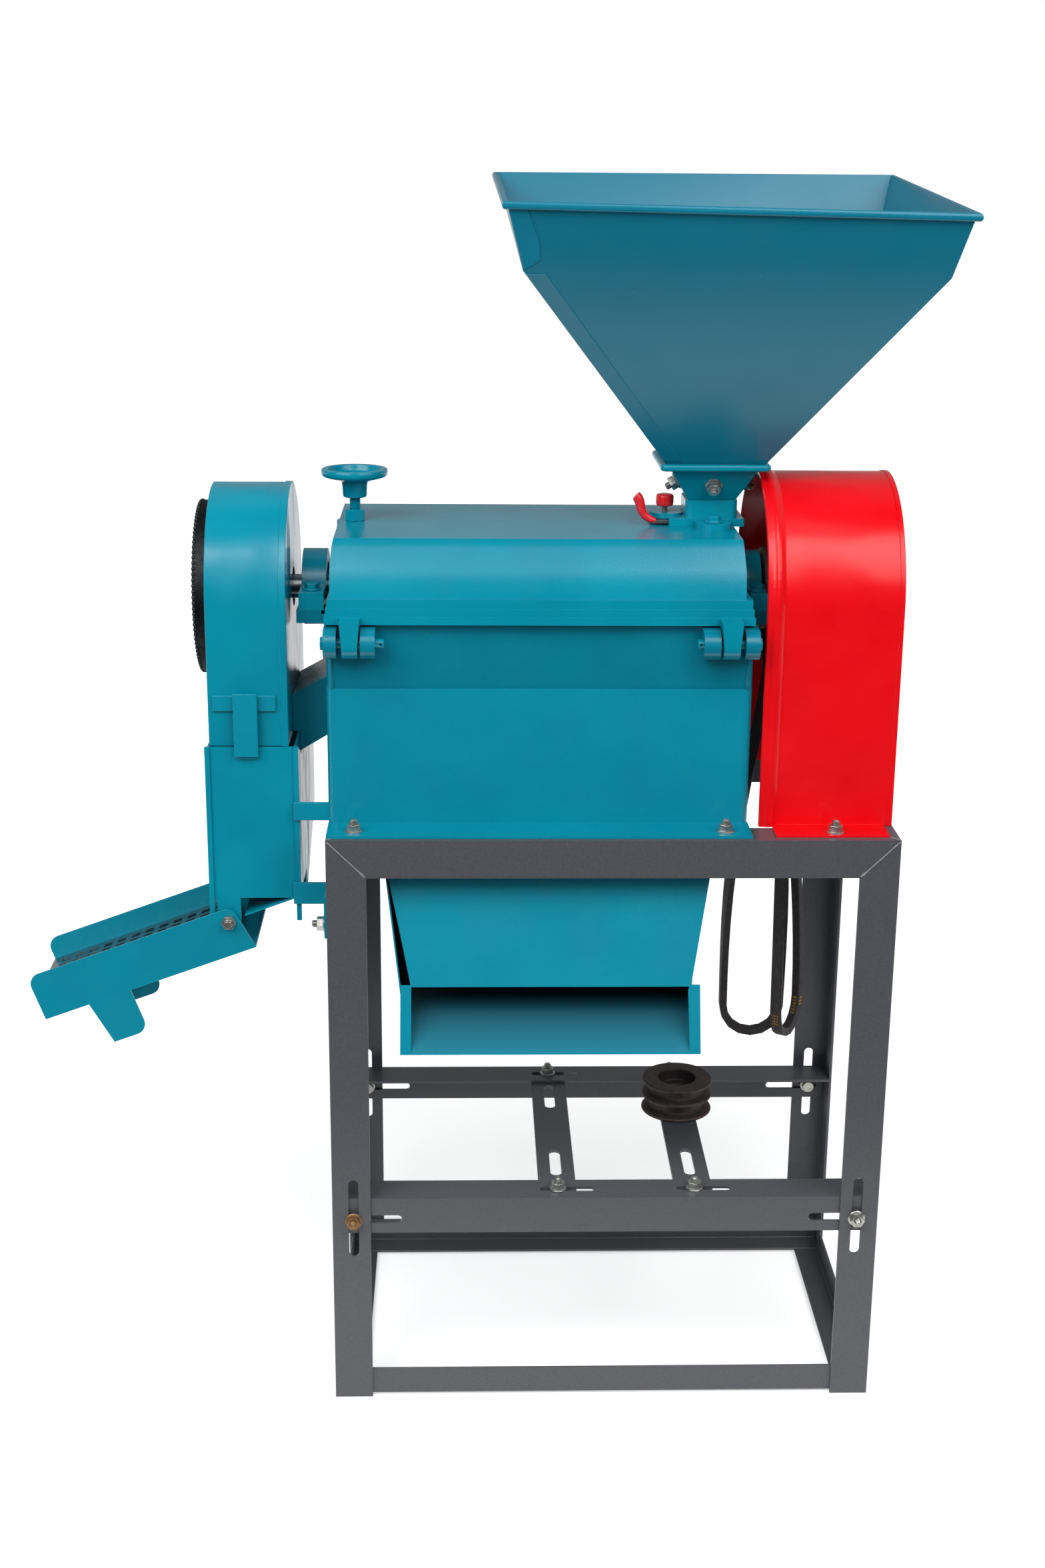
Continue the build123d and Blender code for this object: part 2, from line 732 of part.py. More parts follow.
def sieve():
    """Curved slotted screen in the bottom of the chamber."""
    ring = rod_x(chamber_radius, sieve_left, sieve_right, shaft_y, shaft_z)
    ring -= rod_x(chamber_radius - sieve_wall, sieve_left - cut_over, sieve_right + cut_over, shaft_y, shaft_z)
    reach = 2 * chamber_radius
    half = math.radians(sieve_half_angle)
    wedge = polygon([(shaft_y, shaft_z), (shaft_y - reach * math.sin(half), shaft_z - reach * math.cos(half)),
                     (shaft_y - reach * math.sin(half), shaft_z - reach),
                     (shaft_y + reach * math.sin(half), shaft_z - reach),
                     (shaft_y + reach * math.sin(half), shaft_z - reach * math.cos(half))])
    screen = ring & along_x(wedge, sieve_left, sieve_right)
    pitch = (sieve_right - sieve_left) / sieve_slot_columns
    for row in range(sieve_slot_rows):
        turn = (row - (sieve_slot_rows - 1) / 2) * sieve_slot_step
        for column in range(sieve_slot_columns):
            x = sieve_left + (column + 0.5) * pitch
            cut = block(-sieve_slot_length / 2, sieve_slot_length / 2, -sieve_slot_width / 2, sieve_slot_width / 2,
                        -chamber_radius - cut_over, -chamber_radius / 2)
            screen -= Pos(x, shaft_y, shaft_z) * Rot(turn, 0, 0) * cut
    return screen


def rice_knife():
    blade = block(sieve_left + body_gap, sieve_right - body_gap, knife_front, knife_front + knife_depth - body_gap,
                  knife_low, knife_low + knife_wall)
    for x in knife_screw_places:
        slot = slot_face(knife_screw_row, 2 * m8_hole, x, knife_front + knife_screw_row, 90)
        blade -= along_z(slot, knife_low - cut_over, deck_top + cut_over)
    return blade


def casting_bolts():
    """Screws of the bearing housings and of the rice knife."""
    depth = bearing_foot_high - bearing_shelf_low
    screws = []
    for x in ((bearing_left_low + bearing_left_high) / 2, (bearing_right_low + bearing_right_high) / 2):
        for y in (shaft_y - bearing_bolt_reach, shaft_y + bearing_bolt_reach):
            screws.append(Pos(x, y, bearing_foot_high) * m8_screw(depth))
    for x in knife_screw_places:
        screws.append(Pos(x, knife_front + knife_screw_row, knife_low + knife_wall) * m8_screw(deck_wall))
    return solids_of(*screws)


def base_bolts():
    """Bolts that hold the mill and the belt guard to the stand's top beams."""
    seat = stand_top - angle_wall
    bolts = []
    for x in (base_bolt_left, base_bolt_right, guard_bolt_x):
        for y in (base_bolt_row, stand_depth - base_bolt_row):
            foot_wall = guard_wall if x == guard_bolt_x else sheet_wall
            bolts.append(Pos(x, y, seat) * m8_fastener(angle_wall + foot_wall))
    return solids_of(*bolts)


# Bearings and rotor.
def bearing_housing(x_low, x_high):
    """Ring with two feet, bored for the ball bearing."""
    middle = (x_low + x_high) / 2
    housing = rod_x(bearing_ring_radius, x_low, x_high, shaft_y, shaft_z)
    housing += block(x_low, x_high, shaft_y - bearing_foot_half, shaft_y + bearing_foot_half,
                     bearing_foot_low, bearing_foot_high)
    housing -= rod_x(bearing_outer, x_low - cut_over, x_high + cut_over, shaft_y, shaft_z)
    for y in (shaft_y - bearing_bolt_reach, shaft_y + bearing_bolt_reach):
        housing -= rod_z(m8_hole, bearing_foot_low - cut_over, bearing_foot_high + cut_over, middle, y)
    return housing


def ball_bearing(middle):
    """Sealed bearing as one ring, its shields set back from both faces."""
    low = middle - bearing_width / 2
    high = middle + bearing_width / 2
    bearing = rod_x(bearing_outer, low, high, shaft_y, shaft_z)
    for x_low, x_high in ((low - cut_over, low + bearing_shield_depth), (high - bearing_shield_depth, high + cut_over)):
        shield = rod_x(bearing_shield_radius, x_low, x_high, shaft_y, shaft_z)
        bearing -= shield - rod_x(bearing_race_radius, x_low, x_high, shaft_y, shaft_z)
    return bearing - rod_x(shaft_radius + running_gap, low - cut_over, high + cut_over, shaft_y, shaft_z)


def ball_bearings():
    middles = ((bearing_left_low + bearing_left_high) / 2, (bearing_right_low + bearing_right_high) / 2)
    return solids_of(*[ball_bearing(middle) for middle in middles])


def main_shaft():
    shaft = rod_x(shaft_radius, shaft_left, shaft_right_end, shaft_y, shaft_z)
    return shaft + rod_x(shaft_seat_radius, roller_left, screw_right, shaft_y, shaft_z)


def milling_roller():
    """Cast roller with raised ribs."""
    roller = rod_x(roller_radius, roller_left, roller_right, shaft_y, shaft_z)
    for index in range(rib_count):
        rib = block(roller_left, roller_right, -rib_width / 2, rib_width / 2, shaft_seat_radius + rib_width, rib_radius)
        roller += Pos(0, shaft_y, shaft_z) * Rot(index * 360 / rib_count, 0, 0) * rib
    return roller - rod_x(shaft_seat_radius, roller_left - cut_over, roller_right + cut_over, shaft_y, shaft_z)


def feed_screw():
    """Feed screw with helical flights that push the grain to the roller."""
    star = Circle(screw_core)
    for index in range(screw_starts):
        arm = Pos((screw_core + rib_radius) / 2 - screw_flight / 2, 0) * Rectangle(rib_radius - screw_core
                                                                                + screw_flight, screw_flight)
        star += Rot(0, 0, index * 360 / screw_starts) * arm
    star -= Circle(shaft_seat_radius)
    length = screw_right - roller_right
    screw = Solid.extrude_linear_with_rotation(star.faces()[0], center=(0, 0, 0), normal=(0, 0, length),
                                               angle=screw_twist)
    return Pos(roller_right, shaft_y, shaft_z) * Rot(0, 90, 0) * Part(screw.wrapped)


def main_pulley():
    middles = (groove_left_x - pulley_left, groove_right_x - pulley_left)
    wheel = v_groove_wheel(pulley_radius, pulley_right - pulley_left, middles,
                           groove_top_half, groove_bottom_half, groove_depth)
    wheel -= rod_z(shaft_radius, -cut_over, pulley_right - pulley_left + cut_over, 0, 0)
    return Pos(pulley_left, shaft_y, shaft_z) * Rot(0, 90, 0) * wheel


def fan_impeller():
    """Back plate with a hub and flat blades."""
    impeller = rod_x(impeller_radius, impeller_right - impeller_blade_wall, impeller_right, shaft_y, shaft_z)
    impeller += rod_x(fan_hub_radius, impeller_left, impeller_right, shaft_y, shaft_z)
    for index in range(impeller_blades):
        blade = block(impeller_left, impeller_right - impeller_blade_wall, -impeller_blade_wall / 2,
                      impeller_blade_wall / 2, fan_hub_radius - impeller_blade_wall, impeller_radius)
        impeller += Pos(0, shaft_y, shaft_z) * Rot(index * 360 / impeller_blades, 0, 0) * blade
    return impeller - rod_x(shaft_radius, impeller_left - cut_over, impeller_right + cut_over, shaft_y, shaft_z)


# Cover and what it carries.
def cover_profile():
    """Outline across the shaft: ribbed foot, hollow flank, shoulder and flat top."""
    waist_z = cover_rib_levels[2]
    front = cover_foot_front + 2 * cover_rib_step
    crown = cover_foot_front + cover_crown_inset
    waist = front + cover_waist_step
    shoulder = waist + cover_shoulder_step
    width = 2 * shaft_y
    flank = (waist + cover_flank_step, (waist_z + cover_shoulder) / 2 - cover_rib_step)
    left = [Line((front, cover_low), (front, waist_z)), Line((front, waist_z), (waist, waist_z)),
            ThreePointArc((waist, waist_z), flank, (shoulder, cover_shoulder)),
            Line((shoulder, cover_shoulder), (crown - cover_rib_step, cover_crown)),
            Line((crown - cover_rib_step, cover_crown), (crown, cover_top))]
    right = [mirror(edge, Plane(origin=(shaft_y, 0, 0), z_dir=(1, 0, 0))) for edge in left]
    joins = [Line((crown, cover_top), (width - crown, cover_top)),
             Line((front, cover_low), (width - front, cover_low))]
    return make_face(Curve() + left + right + joins)


def cover():
    """Cast cover: the upper half of the chamber under a hollow shell, with hinge tongues."""
    body = along_x(cover_profile(), cover_top_left, cover_top_right)
    low = cover_low
    for step, high in enumerate(cover_rib_levels):
        grow = (cover_foot_right - cover_top_right) - step * cover_rib_step
        side = cover_foot_front + step * cover_rib_step
        rear = cover_foot_rear - step * cover_rib_step
        body += block(cover_top_left - grow, cover_top_right + grow, side, rear, low, high)
        low = high
    pocket = block(outlet_left, chamber_right, cover_foot_front + cover_crown_inset, cover_foot_rear
                   - cover_crown_inset, cover_low - cut_over, cover_top - cover_wall)
    arch = rod_x(chamber_radius + chamber_wall, chamber_left, chamber_right, shaft_y, shaft_z)
    pocket -= arch
    feed = block(feed_x - feed_hole / 2 - chamber_wall, feed_x + feed_hole / 2 + chamber_wall, shaft_y - feed_hole / 2
                 - chamber_wall, shaft_y + feed_hole / 2 + chamber_wall, shaft_z, cover_top)
    pocket -= feed
    body -= pocket
    body -= rod_x(chamber_radius, chamber_left - cut_over, chamber_right, shaft_y, shaft_z)
    body -= block(feed_x - feed_hole / 2, feed_x + feed_hole / 2, shaft_y - feed_hole / 2, shaft_y + feed_hole / 2,
                  shaft_z, cover_top + cut_over)
    body -= rod_x(cover_shaft_relief, cover_foot_left - cut_over, cover_foot_right + cut_over, shaft_y, shaft_z)
    boss = rod_z(m12_across_flats, outlet_top, cover_top, handwheel_x, shaft_y)
    body += boss
    body -= rod_z(m12_radius + body_gap, outlet_top - cut_over, cover_top + cut_over, handwheel_x, shaft_y)
    for y in (shaft_y - neck_ear_y, shaft_y + neck_ear_y):
        body += rod_z(neck_ear_radius, cover_top - cover_wall - neck_ear_wall, cover_top, feed_x, y)
        body -= rod_z(m8_radius, cover_top - cover_wall - neck_ear_wall - cut_over, cover_top + cut_over, feed_x, y)
    for low, tongue_low, tongue_high, high, pin_low, pin_high in hinge_spans:
        wall = mill_front - casting_proud - 2 * body_gap
        tongue = rod_x(hinge_radius, tongue_low, tongue_high, hinge_y, hinge_z)
        tongue += block(tongue_low, tongue_high, hinge_y - hinge_radius, wall, hinge_z, cover_low + cover_wall)
        tongue -= block(tongue_low, tongue_high, wall, mill_rear, hinge_z - hinge_radius, cover_low)
        body += tongue
        body -= rod_x(hinge_pin_radius + running_gap, tongue_low - cut_over, tongue_high + cut_over,
                      hinge_y, hinge_z)
    lug_slot = swing_radius + 2 * body_gap
    lug = block(swing_x - swing_ear_half, swing_x + swing_ear_half, cover_foot_rear - cut_over,
                swing_pin_y + swing_eye_radius, cover_low, cover_low + swing_ear_wall)
    slot = block(swing_x - lug_slot, swing_x + lug_slot, swing_pin_y - lug_slot, stand_depth, stand_top, cover_top)
    return body + lug - slot


def hinge_pins():
    pins = []
    for low, tongue_low, tongue_high, high, pin_low, pin_high in hinge_spans:
        pin = rod_x(hinge_pin_radius, pin_low, pin_high, hinge_y, hinge_z)
        pin += rod_x(hinge_pin_head, pin_low, low - hinge_ear_gap, hinge_y, hinge_z)
        pins.append(pin)
    return solids_of(*pins)


def pyramid(low_half_x, low_half_y, low_z, high_half_x, high_half_y, high_z):
    """Four-sided taper about the feed axis."""
    low = Pos(feed_x, shaft_y, low_z) * Rectangle(2 * low_half_x, 2 * low_half_y)
    high = Pos(feed_x, shaft_y, high_z) * Rectangle(2 * high_half_x, 2 * high_half_y)
    return loft(Sketch() + [low, high], ruled=True)


def feed_neck():
    """Cast neck and square funnel, with ears for its screws and a slot for the feed plate."""
    neck = block(neck_flange_left, neck_flange_right, shaft_y - neck_flange_half, shaft_y + neck_flange_half,
                 cover_top, neck_flange_top)
    neck += rod_z(clamp_ear_radius, feed_slot_high, feed_slot_high + clamp_ear_wall, clamp_ear_x, shaft_y)
    for side in (-1, 1):
        neck += rod_z(neck_ear_radius, cover_top, cover_top + neck_ear_wall, feed_x, shaft_y + side * neck_ear_y)
        neck += block(feed_x - neck_ear_radius, feed_x + neck_ear_radius,
                      shaft_y + min(0, side * neck_ear_y), shaft_y + max(0, side * neck_ear_y),
                      cover_top, cover_top + neck_ear_wall)
    tower = block(feed_x - neck_half_x, feed_x + neck_half_x, shaft_y - neck_half_y, shaft_y + neck_half_y,
                  cover_top, neck_top)
    neck += fillet(tower.edges().filter_by(Axis.Z), neck_fillet)
    neck += pyramid(funnel_low_half, funnel_low_half, neck_top, funnel_top_half, funnel_top_half, funnel_top)
    hole = feed_hole / 2
    neck -= block(feed_x - hole, feed_x + hole, shaft_y - hole, shaft_y + hole, cover_top - cut_over,
                  neck_top + cut_over)
    top_inner = funnel_top_half - funnel_wall
    neck -= pyramid(hole - body_gap, hole - body_gap, neck_top, top_inner, top_inner, funnel_top)
    neck -= block(feed_plate_left - feed_plate_right, feed_plate_right + body_gap,
                  shaft_y - feed_plate_half - body_gap, shaft_y + feed_plate_half + body_gap,
                  feed_slot_low, feed_slot_high)
    for side in (-1, 1):
        neck -= rod_z(m8_hole, cover_top - cut_over, neck_top, feed_x, shaft_y + side * neck_ear_y)
    neck -= rod_z(m6_radius + body_gap, cover_top - cut_over, neck_top, clamp_ear_x, shaft_y)
    for turn in range(4):
        neck -= funnel_bolt_place(turn) * rod_z(m8_hole, -funnel_top_half, funnel_top_half, 0, 0)
    return neck


def funnel_bolt_place(turn):
    """Middle of one funnel side, with Z pointing out of the wall."""
    middle = Pos(feed_x, shaft_y, funnel_top - funnel_bolt_drop) * Rot(0, 0, turn * 90)
    return middle * Pos(0, -funnel_bolt_half, 0) * Rot(90 + funnel_angle, 0, 0)


def hopper_bolts():
    """Bolts through the funnel and the collar's skirt, nuts outside."""
    grip = funnel_wall_true + collar_wall + body_gap
    bolts = [funnel_bolt_place(turn) * Pos(0, 0, -grip) * m8_fastener(grip) for turn in range(4)]
    return solids_of(*bolts)


def neck_bolts():
    depth = neck_ear_wall + cover_wall
    screws = [Pos(feed_x, shaft_y + side * neck_ear_y, cover_top + neck_ear_wall) * m8_screw(depth)
              for side in (-1, 1)]
    return solids_of(*screws)


def hopper_collar():
    """Square collar on the funnel, its skirt inside the funnel."""
    top = funnel_top + collar_height
    ring = block(feed_x - collar_half, feed_x + collar_half, shaft_y - collar_half, shaft_y + collar_half,
                 funnel_top, top)
    ring = fillet(ring.edges().filter_by(Axis.Z), collar_height)
    ring = fillet(ring.edges().filter_by(Plane.XY), collar_round)
    slope = math.tan(math.radians(funnel_angle))
    outer_top = funnel_top_half - funnel_wall - body_gap
    skirt_low = funnel_top - collar_skirt
    outer_low = outer_top - collar_skirt * slope
    skirt = pyramid(outer_low, outer_low, skirt_low, outer_top, outer_top, funnel_top)
    inner_low = outer_low - collar_wall
    inner_top = outer_top - collar_wall
    collar = ring + skirt
    collar -= pyramid(inner_low, inner_low, skirt_low, inner_top, inner_top, funnel_top)
    collar -= block(feed_x - inner_top, feed_x + inner_top, shaft_y - inner_top, shaft_y + inner_top,
                    funnel_top, top + cut_over)
    for turn in range(4):
        collar -= funnel_bolt_place(turn) * rod_z(m8_hole, -funnel_top_half, funnel_wall, 0, 0)
    return collar


lean_frame = Pos(feed_x, shaft_y, hopper_base) * Rot(hopper_lean, hopper_tilt, 0)


def hopper_layers(inset):
    """Throat, fold and rim sections, the upper two leaning forward."""
    throat = Pos(feed_x, shaft_y, hopper_base) * Rectangle(2 * (hopper_throat_half - inset),
                                                           2 * (hopper_throat_half - inset))
    fold = lean_frame * Pos(0, 0, hopper_fold_rise) * Rectangle(2 * (hopper_fold_half_x - inset),
                                                              2 * (hopper_fold_half_y - inset))
    rim = lean_frame * Pos(0, 0, hopper_rim_rise) * Rectangle(2 * (hopper_rim_half_x - inset),
                                                            2 * (hopper_rim_half_y - inset))
    lower = loft(Sketch() + [throat, fold], ruled=True)
    return lower + loft(Sketch() + [fold, rim], ruled=True)


def hopper():
    """Sheet hopper: pyramid, band and rolled rim."""
    shell = hopper_layers(0) - hopper_layers(hopper_wall)
    path = lean_frame * Pos(0, 0, hopper_rim_rise) * RectangleRounded(2 * hopper_rim_half_x, 2 * hopper_rim_half_y,
                                                                 2 * hopper_bead)
    wire = path.faces()[0].outer_wire()
    start = wire @ 0
    bead = sweep(Plane(origin=start, z_dir=wire % 0) * Circle(hopper_bead), path=wire)
    return shell + bead


def lock_nut():
    nut = hexagon(m12_across_flats, cover_top, cover_top + m12_nut)
    return Pos(handwheel_x, shaft_y, 0) * (nut - rod_z(m12_radius + body_gap, cover_top - cut_over,
                                                      cover_top + m12_nut + cut_over, 0, 0))


def outlet_gate():
    """Plate that closes the chamber's open end, hung on the handwheel's screw."""
    low = shaft_z + gate_rest_lift
    plate = block(gate_right - gate_wall, gate_right, shaft_y - gate_half, shaft_y + gate_half, low, gate_top)
    plate -= rod_x(gate_cut_radius, gate_left, gate_right + cut_over, shaft_y, low)
    shelf = block(gate_left, gate_right, shaft_y - m12_across_flats, shaft_y + m12_across_flats,
                  gate_top - gate_shelf, gate_top)
    screw_room = rod_z(m12_radius + running_gap, gate_top - gate_shelf / 2, gate_top + cut_over,
                       handwheel_x, shaft_y)
    return plate + shelf - screw_room


def handwheel():
    """Dished handwheel on its M12 screw."""
    rim_middle = handwheel_radius - handwheel_rim
    hub = rod_z(handwheel_hub_radius, handwheel_hub_low, handwheel_hub_high, 0, 0)
    web_in = handwheel_hub_high - handwheel_web
    web_out = handwheel_rim_z - handwheel_web / 2
    web = revolve(Plane.XZ * polygon([(0, web_in), (handwheel_hub_radius, web_in), (rim_middle, web_out),
                                      (rim_middle, web_out + handwheel_web),
                                      (handwheel_hub_radius, handwheel_hub_high), (0, handwheel_hub_high)]), Axis.Z)
    spread = (handwheel_hub_radius + rim_middle) / 2
    for index in range(handwheel_holes):
        web -= Rot(0, 0, index * 360 / handwheel_holes) * rod_z(handwheel_hole_radius, web_in - cut_over,
                                                              handwheel_rim_z + handwheel_rim, spread, 0)
    rim = Pos(0, 0, handwheel_rim_z) * Torus(rim_middle, handwheel_rim)
    screw = rod_z(m12_radius, gate_top - gate_shelf / 2 + body_gap, handwheel_rim_z, 0, 0)
    return Pos(handwheel_x, shaft_y, 0) * (hub + web + rim + screw)


def feed_gate():
    """Flat plate that slides out to the left under the neck."""
    low = feed_slot_low + body_gap
    plate = block(feed_plate_left, feed_plate_right, shaft_y - feed_plate_half, shaft_y + feed_plate_half,
                  low, low + feed_plate_wall)
    return plate


def gate_grip():
    """Bent, plastic-dipped handle of the feed plate."""
    start_z = feed_slot_low + body_gap + feed_plate_wall
    low = (feed_plate_left + grip_start_inset, grip_y, start_z + grip_start_rise)
    bend = (feed_plate_left - grip_bend_reach, grip_y, start_z + grip_bend_rise)
    high = (feed_plate_left - grip_tip_reach, grip_y, start_z + grip_tip_rise)
    path = Spline(low, bend, high, tangents=[(-2, 0, 1), (-0.8, 0, 1)])
    stem = sweep(Plane(origin=path @ 0, z_dir=path % 0) * Circle(grip_stem_radius), path=path)
    tip = Pos(*high) * Sphere(grip_tip_radius)
    below = block(feed_plate_left - grip_tip_rise, feed_plate_right, 0, stand_depth, stand_top, start_z)
    return stem + tip - below


def clamp_knob():
    """Red knob on an M6 screw that pinches the feed plate."""
    seat = feed_slot_low + body_gap + feed_plate_wall + body_gap
    knob = rod_z(clamp_knob_radius, clamp_knob_low, clamp_knob_high, 0, 0)
    knob = fillet(knob.edges().filter_by(GeomType.CIRCLE), clamp_knob_round)
    return Pos(clamp_ear_x, shaft_y, 0) * (knob + rod_z(m6_radius, seat, clamp_knob_low + cut_over, 0, 0))


# Bran chute.
def creased_solid(low_corners, high_corners):
    """Solid between two four-cornered sections; its two end walls are creased along a diagonal."""
    low = [Vector(*corner) for corner in low_corners]
    high = [Vector(*corner) for corner in high_corners]
    walls = [low, high, [low[0], low[1], high[1], high[0]], [low[2], low[3], high[3], high[2]],
             [low[1], low[2], high[2]], [low[1], high[2], high[1]],
             [low[3], low[0], high[0]], [low[3], high[0], high[3]]]
    return Part() + Solid(Shell([Face(Wire.make_polygon(wall, close=True)) for wall in walls]))


def chute_form(inset, over_share=0.0):
    """Funnel from the underside of the mill to the slanting mouth, walls drawn in by the inset."""
    left = chute_top_left + inset
    right = chute_top_right - inset
    front = chute_top_front + inset
    rear = chute_top_rear - inset
    upper = [(left, front, stand_top), (right, front, stand_top), (right, rear, stand_top), (left, rear, stand_top)]
    rise = chute_mouth_high - chute_mouth_low
    run = chute_mouth_back - chute_mouth_front
    step_y = inset * run / math.hypot(rise, run)
    step_z = inset * rise / math.hypot(rise, run)
    mouth_left = chute_mouth_left + inset
    mouth_right = chute_mouth_right - inset
    high = (chute_mouth_back - step_y, chute_mouth_high - step_z)
    low = (chute_mouth_front + step_y, chute_mouth_low + step_z)
    mouth = [(mouth_left, *high), (mouth_right, *high), (mouth_right, *low), (mouth_left, *low)]
    upper_over = [Vector(*u) + (Vector(*u) - Vector(*m)) * over_share for u, m in zip(upper, mouth)]
    mouth_over = [Vector(*m) + (Vector(*m) - Vector(*u)) * over_share for u, m in zip(upper, mouth)]
    return creased_solid(mouth_over, upper_over)


def bran_chute():
    chute = chute_form(0) - chute_form(chute_wall, chute_over_share)
    lip_run = (chute_mouth_back - chute_mouth_front) * chute_wall / (chute_mouth_high - chute_mouth_low)
    for x_low, x_high in ((chute_mouth_left - chute_lip, chute_mouth_left + chute_wall),
                          (chute_mouth_right - chute_wall, chute_mouth_right + chute_lip)):
        outline = polygon([(chute_mouth_front, chute_mouth_low), (chute_mouth_back, chute_mouth_high),
                           (chute_mouth_back + chute_wall, chute_mouth_high - lip_run),
                           (chute_mouth_front + chute_wall, chute_mouth_low - lip_run)])
        chute += along_x(outline, x_low, x_high)
    return chute


# Fan end.
def arched(radius, low, front=None, rear=None):
    """Half round on straight sides, across the shaft."""
    front = shaft_y - radius if front is None else front
    rear = shaft_y + radius if rear is None else rear
    edges = [Line((front, low), (front, shaft_z)),
             ThreePointArc((front, shaft_z), (shaft_y, shaft_z + radius), (rear, shaft_z)),
             Line((rear, shaft_z), (rear, low)), Line((rear, low), (front, low))]
    return make_face(Curve() + edges)


def fan_casing():
    """Sheet casing: half drum on straight sides, open below into the duct."""
    casing = along_x(arched(fan_radius, duct_top), fan_left, fan_right)
    casing -= along_x(arched(fan_radius - fan_wall, duct_top - cut_over), fan_left + fan_wall, fan_right - fan_wall)
    casing -= rod_x(fan_inlet_radius, fan_left - cut_over, fan_left + fan_wall + cut_over, shaft_y, shaft_z)
    casing -= rod_x(fan_shaft_hole, fan_right - fan_wall - cut_over, fan_right + cut_over, shaft_y, shaft_z)
    casing -= block(fan_right - fan_wall - cut_over, fan_right + cut_over, shaft_y - spout_half,
                    shaft_y + spout_half, duct_top - cut_over, spout_out_high)
    return casing


def wire_grid(radius, x_low, step_wire, bars):
    """Square mesh in a round frame, across the shaft."""
    grid = None
    pitch = 2 * radius / (bars + 1)
    for index in range(bars):
        offset = (index + 1) * pitch - radius
        half = math.sqrt(radius ** 2 - offset ** 2)
        upright = block(x_low, x_low + step_wire, offset - step_wire / 2, offset + step_wire / 2, -half, half)
        level = block(x_low, x_low + step_wire, -half, half, offset - step_wire / 2, offset + step_wire / 2)
        pair = upright + level
        grid = pair if grid is None else grid + pair
    return Pos(0, shaft_y, shaft_z) * grid


def fan_inlet_guard():
    """Crimped ring with a mesh over the fan's inlet."""
    low = fan_left - inlet_ring_depth
    ring = rod_x(inlet_ring_radius, low, fan_left, shaft_y, shaft_z)
    inner = inlet_ring_radius - 3 * inlet_ring_wall
    ring -= rod_x(inner, low - cut_over, low + inlet_ring_wall + cut_over, shaft_y, shaft_z)
    ring -= rod_x(inlet_ring_radius - inlet_ring_wall, low + inlet_ring_wall, fan_left + cut_over, shaft_y, shaft_z)
    return ring + wire_grid(inner + mesh_wire, low + mesh_wire, mesh_wire, mesh_bars)


def lower_duct():
    """Duct box under the fan: hemmed front corners, a rear wall that folds forward, a guide to the tray."""
    outline = [(duct_front, duct_top), (duct_front, duct_side_low), (tray_rear, duct_side_low),
               (duct_mouth_rear, duct_mouth_low), (duct_rear, duct_rear_fold), (duct_rear, duct_top)]
    box = along_x(polygon(outline), duct_left, duct_right)
    inner_rear = duct_rear - duct_wall
    inside = [(duct_front + duct_wall, duct_top + cut_over), (duct_front + duct_wall, duct_side_low - angle_leg),
              (duct_mouth_rear - duct_wall, duct_mouth_low - angle_leg),
              (duct_mouth_rear - duct_wall, duct_mouth_low + duct_wall), (inner_rear, duct_rear_fold + duct_wall),
              (inner_rear, duct_top + cut_over)]
    box -= along_x(polygon(inside), duct_left + duct_wall, duct_right - duct_wall)
    box -= block(duct_left + duct_wall, duct_right - duct_wall, duct_front - cut_over, duct_front + duct_wall,
                 duct_tip, duct_front_low)
    for edge in (duct_left, duct_right):
        box += block(edge - duct_hem / 2, edge + duct_hem / 2, duct_front - duct_wall, duct_front + duct_wall,
                     duct_tip, duct_top)
    box -= block(duct_right - duct_wall - cut_over, duct_right + duct_hem, shaft_y - spout_half,
                 shaft_y + spout_half, spout_out_low, duct_top + cut_over)
    guide_x = duct_right - duct_wall - duct_guide_reach
    guide = polygon([(duct_right - duct_wall, duct_front_low), (duct_right - duct_wall, duct_front_low + duct_wall),
                     (guide_x, duct_front_low + duct_wall - duct_guide_drop),
                     (guide_x, duct_front_low - duct_guide_drop)])
    box += along_y(guide, duct_front, duct_mouth_rear - duct_wall)
    front_lug = Pos(tray_pivot_x, tray_pivot_z) * Circle(duct_lug_radius)
    front_lug += Pos(tray_pivot_x, (tray_pivot_z + duct_front_low) / 2) * Rectangle(2 * duct_lug_radius,
                                                                                  duct_front_low - tray_pivot_z)
    box += along_y(front_lug, duct_front, duct_front + duct_wall)
    rear_lug = Pos(tray_pivot_x, tray_pivot_z) * Circle(duct_lug_radius)
    rear_lug += Pos((tray_pivot_x + duct_left) / 2, (tray_pivot_z + duct_front_low + 2 * duct_lug_radius) / 2) \
        * Rectangle(tray_pivot_x - duct_left, duct_front_low + 2 * duct_lug_radius - tray_pivot_z)
    rear_face = tray_rear - tray_wall - body_gap
    box += along_y(rear_lug, rear_face - duct_wall, rear_face)
    return box - rod_y(m8_radius, 0, stand_depth, tray_pivot_x, tray_pivot_z)


def rice_spout():
    """Slanting square tube from the mill to the fan casing and the duct."""
    inner_end = mill_left
    outline = [(fan_right, spout_out_low), (fan_right, spout_out_high), (inner_end, spout_in_high),
               (inner_end, spout_in_low)]
    shell = along_y(polygon(outline), shaft_y - spout_half, shaft_y + spout_half)
    bore = [(fan_right - cut_over, spout_out_low + duct_wall), (fan_right - cut_over, spout_out_high - duct_wall),
            (inner_end + cut_over, spout_in_high - duct_wall), (inner_end + cut_over, spout_in_low + duct_wall)]
    shell -= along_y(polygon(bore), shaft_y - spout_half + duct_wall, shaft_y + spout_half - duct_wall)
    return shell - block(fan_right - cut_over, duct_right, 0, stand_depth, stand_top, duct_top)


